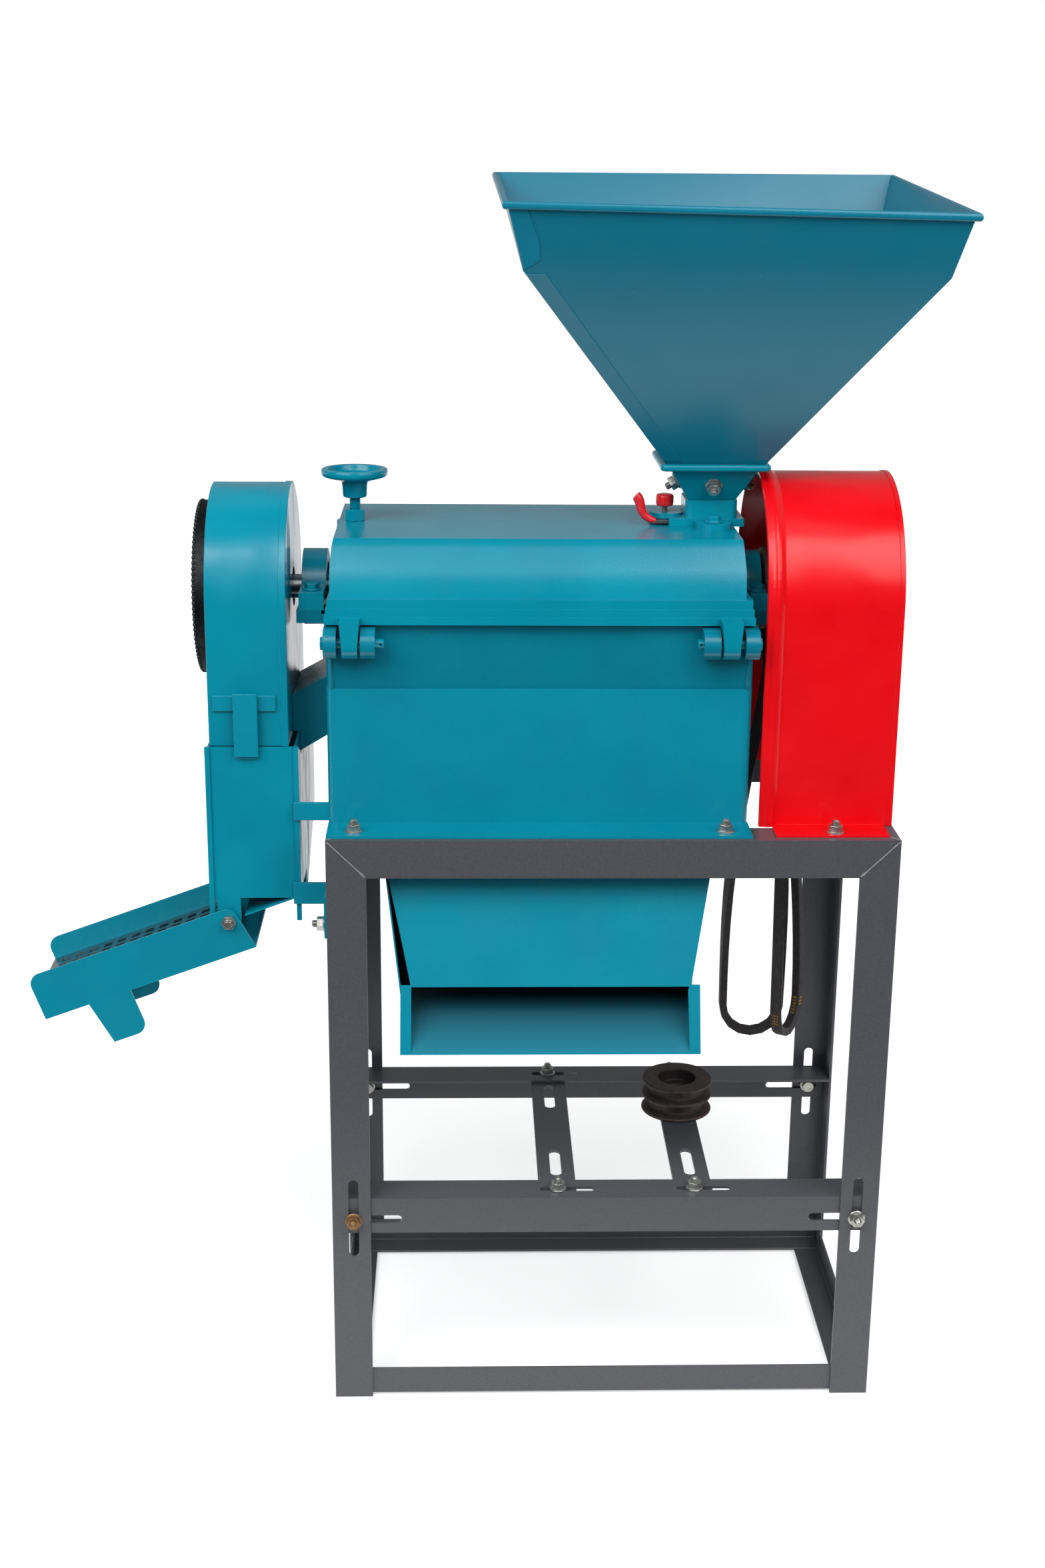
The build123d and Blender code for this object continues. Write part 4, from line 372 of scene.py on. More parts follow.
def move(x=0.0, y=0.0, z=0.0):
    """Move what is selected by millimetres, then leave edit mode."""
    bpy.ops.transform.translate(value=(x * mm, y * mm, z * mm))
    bpy.ops.object.mode_set(mode="OBJECT")


def cut_loops(piece, axis, places):
    """Score a piece all round at some places along an axis, so that it can bend there."""
    select_only(piece)
    for place_mm in places:
        corner = stand_middle + Vector(axis) * place_mm * mm
        bpy.ops.object.mode_set(mode="EDIT")
        bpy.ops.mesh.select_all(action="SELECT")
        bpy.ops.mesh.bisect(plane_co=corner, plane_no=axis)
        bpy.ops.object.mode_set(mode="OBJECT")


def joined(pieces, name):
    """Several pieces as one object."""
    select_only(pieces[0])
    for piece in pieces:
        piece.select_set(True)
    bpy.ops.object.join()
    pieces[0].name = name
    return pieces[0]


# %% [markdown]
# Sheet steel of 1.5 to 3 mm gets a round of half a millimetre, angle iron one of a millimetre, and castings
# about a millimetre or more. Each node is named with its finish and its round. What sits inside the mill
# keeps its CAD mesh and only gets a finish.

# %% Dressed nodes
dressing = {
    (stand_paint, 1.0): ("post_front_left post_front_right post_rear_left post_rear_right top_beam_front "
                         "top_beam_rear top_beam_left top_beam_right lower_rails cross_rails motor_rail_left "
                         "motor_rail_right"),
    (teal_cast, 1.2): "feed_neck bearing_housing_left bearing_housing_right",
    (teal_cast, 0.7): "casting_bolts neck_bolts",
    (teal_sheet, 0.5): "rice_spout duct_clip duct_strap duct_bracket tray hopper_collar",
    (thin_sheet, 0.9): "lower_duct",
    (zinc, 0.4): "tray_pivot swing_bolt",
    (iron, 0.8): "main_pulley fan_impeller outlet_gate",
    (dark_wire_and_painted_shade, 0.3): "fan_inlet_guard guard_vent",
    (plate_steel, 0.3): "feed_gate",
    (rubber, 0.6): "belt_inner belt_outer",
}
inside = {
    iron: "milling_roller feed_screw",
    steel: "main_shaft ball_bearings sieve rice_knife tray_mesh",
}
for (finish, round_mm), names in dressing.items():
    for node in names.split():
        dressed(node, finish, round_mm)
for finish, names in inside.items():
    for node in names.split():
        frame["nodes"][node].data.materials.clear()
        frame["nodes"][node].data.materials.append(finish)
print("dressed", sum(len(names.split()) for names in dressing.values()), "nodes")

# %% [markdown]
# The cover is one casting. Its foot flares in soft ribs, and its ends lean in a little, so that the pattern
# comes out of the sand. The end faces are scored at the foot and at the shoulder first, and then the points
# at each level are moved by themselves. The two tongues at the hinge taper downwards.

# %% Cover
cover = merged_copy("cover")
left_end, right_end = (-278.5, -277.5), (127.5, 129.0)
foot_cut, shoulder_cut = 896.0, 915.0
cut_loops(cover, (0, 0, 1), (foot_cut, shoulder_cut))
at_shoulder = (shoulder_cut - 1, shoulder_cut + 1)
leans = ((right_end, (cover_top - 0.5, math.inf), -3.0), (right_end, at_shoulder, -1.5),
         (left_end, (-math.inf, foot_cut + 1), -3.5), (left_end, at_shoulder, -2.0))
for (left, right), (low, high), lean_mm in leans:
    choose(cover, lambda x, y, z: left < x < right and low < z < high)
    move(x=lean_mm)
front_wall_y = 46
tongue_half, tongue_taper = 11, 0.78
for tongue_x in (-261.5, 112.5):
    tongue = at(tongue_x, hinge_y, hinge_z)
    choose(cover, lambda x, y, z: abs(x - tongue_x) < tongue_half and y < front_wall_y and z < hinge_z + 10)
    bpy.ops.transform.resize(value=(tongue_taper, 1.0, 1.0), center_override=tongue)
    bpy.ops.object.mode_set(mode="OBJECT")
rounded(cover, 1.5, 3)
settle(cover, "cover", teal_cast)
print("cover has", len(cover.data.polygons), "faces")

# %% [markdown]
# The box under the cover was cast upside down, so its walls draw in towards the bottom by a few millimetres.
# The skirt of sheet below stands a little proud of it. Both reach a few millimetres further to the left and
# right on the real machine than in the CAD model, so everything but their rear walls is drawn out there.

# %% Mill base and skirt
base = merged_copy("mill_base")
skirt = merged_copy("base_skirt")
rear_wall_y, base_foot, draft_mm = 288, 776, 3.5
choose(base, lambda x, y, z: y < front_wall_y and abs(z - base_foot) < 1)
move(y=draft_mm)
choose(base, lambda x, y, z: y > rear_wall_y and abs(z - base_foot) < 1)
move(y=-draft_mm)
left_wall_x, right_wall_x, drawn_to_y = -262, 112, 300
# The box's darker teal is partly painted shade under the cover's foot.
for piece, node, finish, wider_mm, round_mm in ((base, "mill_base", darker_teal_with_painted_shade, 2.5, 1.2),
                                                (skirt, "base_skirt", teal_sheet, 4.5, 0.5)):
    choose(piece, lambda x, y, z: x < left_wall_x and y < drawn_to_y)
    move(x=-wider_mm)
    choose(piece, lambda x, y, z: x > right_wall_x and y < drawn_to_y)
    move(x=wider_mm)
    settle(rounded(piece, round_mm), node, finish)
    print(node, "has", len(piece.data.polygons), "faces")

# %% [markdown]
# Many pieces start as a line through some places. A bare line is an outline to extrude or to turn, and a line
# with a thickness is a rod. Turned pieces start as half an outline whose points go round the solid, as
# radius and height. A Screw modifier turns them about Z, and one that also climbs makes a thread.

# %% Lines, turned pieces and threads


def line_piece(name, places, closed=False, thick_mm=0.0, swell=None, smoothness=4, bent=False):
    """A line through places in metres, as a mesh of edges or, where it is thick, as a rod."""
    curve = bpy.data.curves.new(name, "CURVE")
    curve.dimensions = "3D"
    curve.bevel_depth = thick_mm * mm
    curve.bevel_resolution = smoothness
    curve.use_fill_caps = bent
    line = curve.splines.new("NURBS" if bent else "POLY")
    line.points.add(len(places) - 1)
    for point, place, thickness in zip(line.points, places, swell or [1.0] * len(places)):
        point.co = (*place, 1)
        point.radius = thickness
    line.use_cyclic_u = closed
    line.use_endpoint_u = bent
    if bent:
        line.order_u = 4
    piece = bpy.data.objects.new(name, curve)
    bpy.context.scene.collection.objects.link(piece)
    select_only(piece)
    bpy.ops.object.convert(target="MESH")
    return bpy.context.object


def turned(name, outline, steps=48, climb_mm=0.0, turns=1):
    """Turn an outline about Z into a new piece that stands on the origin."""
    piece = line_piece(name, [(radius * mm, 0, height * mm) for radius, height in outline])
    screw = piece.modifiers.new("turn", "SCREW")
    screw.steps = screw.render_steps = steps
    screw.screw_offset = climb_mm * mm
    screw.iterations = turns
    screw.use_merge_vertices = True
    screw.merge_threshold = 0.01 * mm
    apply_all(piece)
    bpy.ops.object.mode_set(mode="EDIT")
    bpy.ops.mesh.select_all(action="SELECT")
    bpy.ops.mesh.remove_doubles(threshold=0.01 * mm)
    bpy.ops.mesh.normals_make_consistent(inside=False)
    bpy.ops.object.mode_set(mode="OBJECT")
    bpy.ops.object.shade_smooth_by_angle(angle=math.radians(35))
    return piece


def threaded_rod(name, radius, low, high, pitch):
    """A rod with a chamfered end and a thread cut all along."""
    depth = 0.6 * pitch
    root = radius - depth
    core = turned(name, [(0, low), (root, low), (root, high - depth), (root - depth, high), (0, high)], 32)
    foot, crest_low, crest_high = root - 0.02, low + 0.42 * pitch, low + 0.58 * pitch
    tooth = [(foot, low), (radius, crest_low), (radius, crest_high), (foot, low + pitch)]
    turns = int((high - low) / pitch) - 1
    return joined([core, turned(name + "_thread", tooth, 24, pitch, turns)], name)


def hexagon_head(name, across, low, high, crown_top=True, crown_bottom=False):
    """A hexagon whose corners are turned off at the top, the bottom or both."""
    select_only(camera)
    reach = across / math.sqrt(3)
    bpy.ops.mesh.primitive_cylinder_add(vertices=6, radius=reach * mm, depth=(high - low) * mm,
                                        location=(0, 0, (high + low) / 2 * mm))
    head = bpy.context.object
    head.name = name
    bpy.ops.object.transform_apply(location=True)
    drop = (reach - across / 2) * 0.62
    outline = [(0, low), (across / 2 - 0.3, low)] if crown_bottom else [(0, low), (reach + 1, low)]
    if crown_bottom:
        outline.append((reach + 0.2, low + drop))
    if crown_top:
        outline.append((reach + 0.2, high - drop))
    outline += [(across / 2 - 0.3, high), (0, high)] if crown_top else [(reach + 1, high), (0, high)]
    lathe = turned(name + "_lathe", outline, 48)
    select_only(head)
    cut = head.modifiers.new("crown", "BOOLEAN")
    cut.operation = "INTERSECT"
    cut.object = lathe
    apply_all(head)
    bpy.data.objects.remove(lathe)
    return rounded(head, 0.15, 1, 20.0)


def copy_to(piece, matrix):
    """A copy with a mesh of its own, placed inside the mesh."""
    twin = piece.copy()
    twin.data = piece.data.copy()
    twin.data.transform(matrix)
    bpy.context.scene.collection.objects.link(twin)
    return twin


# %% [markdown]
# One M8 fastener serves the whole machine: a flange nut on a stud end, and a flange head on the other side.
# Nut and head are modelled once and copied to every place. Each place is written as the head's seat, the way
# to the nut and the thickness that is clamped. The one at the front left post has rusted.

# %% M8 fasteners
across_flats = 13.0
nut_side = joined([
    turned("flange", [(0, 0), (8.9, 0), (8.9, 0.7), (8.3, 1.3), (6.9, 1.9), (0, 1.9)], 48),
    hexagon_head("nut", across_flats, 1.5, 8.0),
    threaded_rod("stud", 4.0, -4.9, 13.0, 1.25)], "nut_side")
head_side = joined([
    turned("flange", [(0, 4.9), (3.9, 4.9), (3.9, 0), (8.9, 0), (8.9, -0.7), (8.3, -1.3), (6.9, -1.9),
                      (0, -1.9)], 48),
    hexagon_head("head", across_flats, -6.8, -1.5, False, True)], "head_side")


def fastener(seat, axis, grip, finish=None):
    """One bolt with its nut: the head's seat, the direction towards the nut and the clamped thickness."""
    turn = Vector(axis).to_track_quat("Z", "X").to_matrix().to_4x4()
    foot = Matrix.Translation(at(*seat)) @ turn
    lift = Matrix.Translation((0, 0, grip * mm))
    pair = [copy_to(head_side, foot), copy_to(nut_side, foot @ lift)]
    for piece in pair:
        painted(piece, finish or zinc)
    return pair


def fasteners(node, places):
    """All fasteners of one node as one piece."""
    pieces = []
    for place_of_one in places:
        pieces += fastener(*place_of_one)
    settle(joined(pieces, node + "_dressed"), node)
    print(node, "has", len(places), "fasteners")


funnel_slope = math.radians(31.2184)
funnel_top, funnel_top_half, funnel_drop = 983.0, 44.0, 17.0
side_half = funnel_top_half - funnel_drop * math.tan(funnel_slope)
clamp = 3.0 * math.cos(funnel_slope) + 2.3
funnel_places = []
for side_x, side_y in ((0, -1), (1, 0), (0, 1), (-1, 0)):
    out = Vector((side_x * math.cos(funnel_slope), side_y * math.cos(funnel_slope), -math.sin(funnel_slope)))
    on_wall = Vector((feed_x + side_x * side_half, shaft_y + side_y * side_half, funnel_top - funnel_drop))
    seat = on_wall - out * clamp
    funnel_places.append((seat, out, clamp))
fasteners("hopper_bolts", funnel_places)
angle_wall, guard_bolt_x = 3, 224
fasteners("base_bolts", [((x, y, beam_top - angle_wall), (0, 0, 1), 5.0 if x == guard_bolt_x else 6.0)
                         for x in (-260, 113, guard_bolt_x) for y in (20, 314)])
post_bolt_x, post_bolt_z = 265.2, 212
front_seat_y, rear_seat_y = 6.3, 327.7
fasteners("cross_rail_bolts", [
    ((-post_bolt_x, front_seat_y, post_bolt_z), (0, -1, 0), 6.6, rusty_zinc),
    ((post_bolt_x, front_seat_y, post_bolt_z), (0, -1, 0), 6.6),
    ((-post_bolt_x, rear_seat_y, post_bolt_z), (0, 1, 0), 6.6),
    ((post_bolt_x, rear_seat_y, post_bolt_z), (0, 1, 0), 6.6)])
motor_seat_z = 228.7
for node, x in (("motor_rail_left_bolts", -50), ("motor_rail_right_bolts", 95)):
    fasteners(node, [((x, y, motor_seat_z), (0, 0, 1), 7.6) for y in (23.3, 310.7)])
fasteners("duct_bolts", [((-284.5, 20, 537.7), (-1, 0, 0), 6.0)])
bpy.data.objects.remove(nut_side)
bpy.data.objects.remove(head_side)

# %% [markdown]
# The handwheel is a solid iron dish: a flat rim with rounded edges, a wall that drops to the floor of the
# dish, and a short tapering hub. Its screw is M12 and, like the lock nut under it, painted over.

# %% Handwheel and lock nut
wheel_x = -261.5
wheel_axis = Matrix.Translation(at(wheel_x, shaft_y, cover_top))
dish = turned("dish", [
    (0, 24), (10.5, 24), (11.7, 24.5), (12.3, 25.8), (13.0, 37), (13.8, 39.6), (16.5, 41), (29.5, 44.6),
    (32.3, 45.6), (33.7, 47.1), (34, 49), (34, 51.2), (33.5, 52.6), (32.3, 53.2), (28.6, 53.2),
    (27.2, 52.7), (26.6, 51.4), (26.2, 48.8), (25.2, 47.2), (22.8, 46.5), (9.4, 46.3), (8.6, 46.9),
    (7.2, 46.9), (6.4, 46.4), (0, 46.4)], 96)
bpy.ops.object.shade_smooth_by_angle(angle=math.radians(50))
wheel = joined([dish, threaded_rod("wheel_screw", 5.9, -25.7, 25, 1.75)], "handwheel_dressed")
wheel.data.transform(wheel_axis)
settle(wheel, "handwheel", teal_cast)
nut = hexagon_head("lock_nut_dressed", 19.0, 0.0, 12.0, True, True)
nut.data.transform(wheel_axis)
settle(nut, "lock_nut", teal_cast)
print("handwheel has", len(wheel.data.polygons), "faces")

# %% [markdown]
# The hinge pins are plain rods with a flat head at the outer end and a hole for a split pin at the other.

# %% Hinge pins
pin_pieces = []
for head_x, tip_x in ((-290.5, -228.0), (143.0, 80.0)):
    way = 1 if tip_x > head_x else -1
    length = abs(tip_x - head_x)
    pin = turned("pin", [(0, 0), (6.1, 0), (6.5, 0.5), (6.5, 4.6), (6.1, 5.2), (4.9, 5.2),
                         (4.9, length - 0.8), (4.1, length), (0, length)], 32)
    hole = turned("hole", [(0, -9), (1.4, -9), (1.4, 9), (0, 9)], 12)
    crossways = Matrix.Rotation(math.pi / 2, 4, "X")
    hole.data.transform(Matrix.Translation((0, 0, (length - 3.4) * mm)) @ crossways)
    select_only(pin)
    drill = pin.modifiers.new("hole", "BOOLEAN")
    drill.object = hole
    apply_all(pin)
    bpy.data.objects.remove(hole)
    lie_down = Matrix.Rotation(way * math.pi / 2, 4, "Y")
    pin.data.transform(Matrix.Translation(at(head_x, hinge_y, hinge_z)) @ lie_down)
    pin_pieces.append(painted(pin, teal_cast))
settle(joined(pin_pieces, "hinge_pins_dressed"), "hinge_pins")
print("hinge pins", len(pin_pieces))

# %% [markdown]
# Two housings are sheet bent over the shaft: half round above, with straight sides. A strip of such sheet
# starts as that outline. It is extruded sideways step by step, and each step may be a little wider or
# narrower, which draws beads and laps. Its feet are flattened at the end, and Solidify gives it a wall.

# %% Sheet bent over the shaft
arch_steps = 48


def thicken(piece, wall_mm, offset=-1.0):
    """Give a sheet its wall."""
    select_only(piece)
    bpy.ops.object.mode_set(mode="EDIT")
    bpy.ops.mesh.select_all(action="SELECT")
    bpy.ops.mesh.normals_make_consistent(inside=False)
    bpy.ops.object.mode_set(mode="OBJECT")
    wall = piece.modifiers.new("wall", "SOLIDIFY")
    wall.thickness = wall_mm * mm
    wall.offset = offset
    wall.use_even_offset = True
    apply_all(piece)
    return piece


def arch_strip(name, stations, low, wall_mm):
    """A bent strip of sheet. Stations are pairs of x and radius, and low is the height of its feet."""
    first_x, radius = stations[0]
    turns = [math.pi * i / arch_steps for i in range(arch_steps + 1)]
    arc = [(first_x, shaft_y - radius * math.cos(turn), shaft_z + radius * math.sin(turn)) for turn in turns]
    outline = [(first_x, shaft_y - radius, low)] + arc + [(first_x, shaft_y + radius, low)]
    piece = line_piece(name, [at(*place) for place in outline])
    bpy.ops.object.mode_set(mode="EDIT")
    bpy.ops.mesh.select_all(action="SELECT")
    for x, next_radius in stations[1:]:
        bpy.ops.mesh.extrude_edges_move(TRANSFORM_OT_translate={"value": ((x - first_x) * mm, 0, 0)})
        share = next_radius / radius
        bpy.ops.transform.resize(value=(1.0, share, share), center_override=at(x, shaft_y, shaft_z))
        first_x, radius = x, next_radius
    choose(piece, lambda x, y, z: z < low + 30)
    bpy.ops.transform.resize(value=(1.0, 1.0, 0.0), center_override=at(0, 0, low))
    bpy.ops.object.mode_set(mode="OBJECT")
    thicken(piece, wall_mm)
    return piece


# %% [markdown]
# The belt guard's open edge is stiffened by a half-round bead rolled into the sheet, and its side plate is
# crimped on with a narrow lap. The fan casing has the same lap, and the inlet ring on its far side is
# crimped in small beads, modelled once and spun round. The ring is given the dark wire finish as painted
# shade, since it faces away from the lamps.

# %% Belt guard, fan casing and inlet ring
bead_start, bead_pitch, bead_steps = 150.2, 2.1, 8
guard_radius, bead_height = 121.6, 4.0
guard_foot, casing_foot = beam_top + 0.2, 713.2
bead = [(bead_start + bead_pitch * i, guard_radius + bead_height * math.sin(math.pi * i / bead_steps))
        for i in range(bead_steps + 1)]
guard_lap = [(280.6, 121.1), (281.4, 121.9), (286.0, 121.9)]
guard_pieces = [
    rounded(merged_copy("belt_guard"), 1.6, 3),
    arch_strip("guard_bead", [(149.4, 120.2)] + bead + [(168.2, 121.1)], guard_foot, 1.0),
    rounded(arch_strip("guard_lap", guard_lap, guard_foot, 0.9), 0.3)]
casing_lap = [(-333.4, 107.1), (-332.6, 107.9), (-326.2, 107.9)]
casing_pieces = [
    rounded(merged_copy("fan_casing"), 0.8),
    rounded(arch_strip("casing_lap", casing_lap, casing_foot, 0.9), 0.3)]

crimp_x, crimp_radius, crimp_circle, crimps = -418.5, 2.4, 87.2, 96
select_only(camera)
bpy.ops.mesh.primitive_uv_sphere_add(segments=10, ring_count=6, radius=crimp_radius * mm,
                                     location=at(crimp_x, shaft_y - crimp_circle, shaft_z))
crimp = bpy.context.object
bpy.ops.object.transform_apply(location=True)
bpy.ops.object.mode_set(mode="EDIT")
bpy.ops.mesh.select_all(action="SELECT")
bpy.ops.mesh.spin(steps=crimps, dupli=True, angle=2 * math.pi, axis=(1, 0, 0),
                  center=at(crimp_x, shaft_y, shaft_z))
bpy.ops.object.mode_set(mode="OBJECT")
bpy.ops.object.shade_smooth()
# The crimped ring takes the dark wire finish as painted shade, since it faces away from the lamps.
ring_pieces = [crimp, rounded(merged_copy("fan_inlet_guard"), 0.6)]

for node, finish, pieces in (("belt_guard", red_sheet, guard_pieces),
                             ("fan_casing", thin_sheet, casing_pieces),
                             ("fan_inlet_guard", dark_wire_and_painted_shade, ring_pieces)):
    whole = joined([painted(piece, finish) for piece in pieces], node + "_dressed")
    settle(whole, node)
    print(node, "has", len(whole.data.polygons), "faces")

# %% [markdown]
# The hopper is folded from thin sheet. It starts as the throat's square. The walls are extruded up to the
# fold and on to the rim, and every corner is set where the real one leans. The rim's edge is rolled
# outwards round a wire. At the front left corner the side sheet ends in a tab that is folded over the
# front and spot-welded, and below it the lap runs down the slope as a thin step.

# %% Hopper
throat_side, throat_z, fold_z, rim_z = 100, 990, 1193.0, 1248.5
below = at(feed_x, shaft_y, throat_z)
bpy.ops.object.select_all(action="DESELECT")
bpy.ops.mesh.primitive_plane_add(size=throat_side * mm, location=below)
hopper = bpy.context.object
bpy.ops.object.transform_apply(location=True)
bpy.ops.object.mode_set(mode="EDIT")
bpy.ops.mesh.select_all(action="SELECT")
bpy.ops.mesh.delete(type="ONLY_FACE")
bpy.ops.mesh.select_all(action="SELECT")
for middle, spread in ((at(99.0, 152.7, fold_z), (3.91, 3.38, 1.0)),
                       (at(99.0, 149.0, rim_z), (1.0895, 1.1154, 1.0))):
    bpy.ops.mesh.extrude_edges_move(TRANSFORM_OT_translate={"value": tuple(middle - below)})
    bpy.ops.transform.resize(value=spread, center_override=middle)
    below = middle

middle_x, middle_y = 99, 150
corner_moves = (
    (fold_z, -1, -1, 0.0, -9.0), (fold_z, 1, -1, 1.7, -13.1),
    (fold_z, -1, 1, 0.0, 14.1), (fold_z, 1, 1, -2.0, 12.3),
    (rim_z, -1, -1, 1.7, -3.6), (rim_z, 1, -1, -1.3, -10.7),
    (rim_z, -1, 1, -2.1, 17.5), (rim_z, 1, 1, -6.0, 18.1))
for height, way_x, way_y, shift_x, shift_z in corner_moves:
    choose(hopper, lambda x, y, z: abs(z - height) < 0.6
           and (x - middle_x) * way_x > 0 and (y - middle_y) * way_y > 0)
    move(x=shift_x, z=shift_z)
hopper_wall = 1.5
thicken(hopper, hopper_wall)


def front_left_corner(low, high):
    """The hopper's outermost place at the front left between two heights."""
    places = [(point.co - stand_middle) / mm for point in hopper.data.vertices]
    places = [place for place in places if low < place.z < high]
    return tuple(min(places, key=lambda place: place.x + place.y))


throat = front_left_corner(900, 995)
fold = front_left_corner(1150, 1215)
rim = front_left_corner(1220, 1300)
rounded(hopper, 0.6)
corners = [[round(side) for side in place] for place in (throat, fold, rim)]
print("hopper's corners at the front left", corners)

roll_radius, roll_out, roll_down = 3.7, 2.4, 3.6
rim_places = []
for way_x, way_y in ((-1, -1), (1, -1), (1, 1), (-1, 1)):
    corner = max((point.co for point in hopper.data.vertices),
                 key=lambda place: way_x * place.x + way_y * place.y + 3 * place.z)
    rim_places.append(corner + Vector((way_x * roll_out, way_y * roll_out, -roll_down)) * mm)
rim_roll = line_piece("rim_roll", rim_places, closed=True, thick_mm=roll_radius, smoothness=5)
bpy.ops.object.shade_smooth_by_angle(angle=math.radians(40))


def plate(name, points, wall_mm, round_mm):
    """A flat plate with any outline, thickened to both sides and rounded."""
    piece = line_piece(name, [at(*point) for point in points], closed=True)
    bpy.ops.object.mode_set(mode="EDIT")
    bpy.ops.mesh.select_all(action="SELECT")
    bpy.ops.mesh.edge_face_add()
    bpy.ops.object.mode_set(mode="OBJECT")
    return rounded(thicken(piece, wall_mm, 0.0), round_mm)


def along(start, end, share, shift=(0, 0, 0)):
    """A place on the way between two others, shifted by millimetres."""
    return tuple(a + (b - a) * share + s for a, b, s in zip(start, end, shift))


tab = plate("corner_tab", [
    along(fold, rim, 0.02, (0.6, -0.4, 0)), along(fold, rim, 0.96, (0.6, -0.4, 0)),
    along(fold, rim, 0.94, (17, -0.6, 0)), along(fold, rim, 0.42, (21, -0.6, 0)),
    along(fold, rim, 0.16, (17.5, -0.5, 0)), along(fold, rim, 0.06, (8, -0.4, 0))], 1.2, 0.4)
lap = plate("lap", [
    along(throat, fold, 0.02, (0.4, -0.4, 0)), along(throat, fold, 0.985, (0.6, -0.4, 0)),
    along(throat, fold, 0.985, (19, -0.4, 0)), along(throat, fold, 0.02, (18, -0.4, 0))], 0.9, 0.3)
hopper_pieces = [hopper, rim_roll, tab, lap]
for piece in hopper_pieces:
    painted(piece, hopper_sheet)
settle(joined(hopper_pieces, "hopper_dressed"), "hopper")

# %% [markdown]
# The bran chute hangs under the mill. Its lip is lifted and its front bend lowered by a few millimetres, to
# where the real ones are. Its inside gets painted shade, a colour that goes from teal at the lip to dark
# further up, where hardly any light reaches. Faces that look towards the chute's own axis are inside faces,
# and below the bend they are told by the way that they face.

# %% Bran chute
chute_x, lip_top, dark_from, bend_z = -62, 412, 462, 480
# Painted shade for the chute's inside: teal at the lip, nearly black further up.
painted_shade_inside, tree, shader, place = new_material("teal_with_painted_shade_in_the_chute")
height = add_node(tree, "ShaderNodeSeparateXYZ", None, {0: place}).outputs["Z"]
rise = remap(tree, height, at(0, 0, lip_top).z, at(0, 0, dark_from).z, 0.0, 1.0)
shade = ramp(tree, rise, 0.1, 0.9, hex_colour("#02758c"), hex_colour("#001c25"))
tree.links.new(shade, shader.inputs["Base Color"])
shader.inputs["Roughness"].default_value = 0.4

chute = merged_copy("bran_chute")
lip_lift, bend_drop = 11.0, 4.5
choose(chute, lambda x, y, z: z < lip_top)
move(z=lip_lift)
choose(chute, lambda x, y, z: 478 < z < 490 and y < 8)
move(z=-bend_drop)
rounded(chute, 0.5)
painted(chute, teal_sheet)
chute.data.materials.append(painted_shade_inside)
mouth_axis = at(chute_x, 20, 440)
funnel_axis = at(chute_x, 150, 560)
inside_faces = 0
for face in chute.data.polygons:
    centre = (face.center - stand_middle) / mm
    axis_place = funnel_axis if centre.y > 45 else mouth_axis
    inner = face.normal.dot(axis_place - face.center) > 0
    if centre.z < bend_z:
        side_wall = face.normal.x * (centre.x - chute_x) < -20
        inner = centre.y > 12 and (face.normal.y < -0.2 or face.normal.z > 0.5 or side_wall)
    if inner:
        face.material_index = 1
        inside_faces += 1
settle(chute, "bran_chute")
print("chute has", inside_faces, "inside faces")

# %% [markdown]
# The feed plate's handle is a rod bent twice like a swan's neck and dipped in red plastic. Beside it a red
# knob turns an M6 screw that pinches the plate.

# %% Lever and knob
lever_y, lever_radius = 144, 4.1
route = [(45, 928.5, 0.75), (38.5, 930, 0.9), (32.5, 935, 1.05), (30.0, 942, 1.15), (29.0, 948, 1.25),
         (26.5, 953.0, 1.3), (25.0, 954.4, 1.15)]
lever = line_piece("lever", [at(x, lever_y, z) for x, z, swell in route], thick_mm=lever_radius,
                   swell=[swell for x, z, swell in route], smoothness=6, bent=True)
bpy.ops.object.shade_smooth_by_angle(angle=math.radians(40))
settle(lever, "gate_grip", red_plastic)

knob = turned("knob", [(0, 17.5), (7.2, 17.5), (8.2, 18.0), (8.8, 19.2), (9.1, 21), (9.1, 27.0), (8.6, 28.6),
                       (7.2, 29.4), (0, 29.4)], 40)
screw_end = threaded_rod("knob_screw", 3.0, 5.9, 18.5, 1.0)
painted(knob, red_plastic)
painted(screw_end, zinc)
knob = joined([knob, screw_end], "clamp_knob_dressed")
knob_x, knob_foot = 56.5, 923
knob.data.transform(Matrix.Translation(at(knob_x, shaft_y, knob_foot)))
settle(knob, "clamp_knob")
print("lever has", len(lever.data.polygons), "faces, knob", len(knob.data.polygons))

# %% [markdown]
# The spare pulley is a raw sand casting. Nobody machined its edges, so they all get a wide round.

# %% Spare pulley
pulley = rounded(merged_copy("loose_pulley"), 2.2, 4)
settle(pulley, "loose_pulley", iron)
print("pulley has", len(pulley.data.polygons), "faces")

# %% [markdown]
# The stand is mitred at its top corners and welded, then painted over. A weld is a thin bead that stands
# half a millimetre proud and ends in a small blob at the inner corner.

# %% Weld beads
weld_paint_with_painted_highlight, tree, shader, place = new_material("satin_grey_over_a_weld_with_painted_highlight")
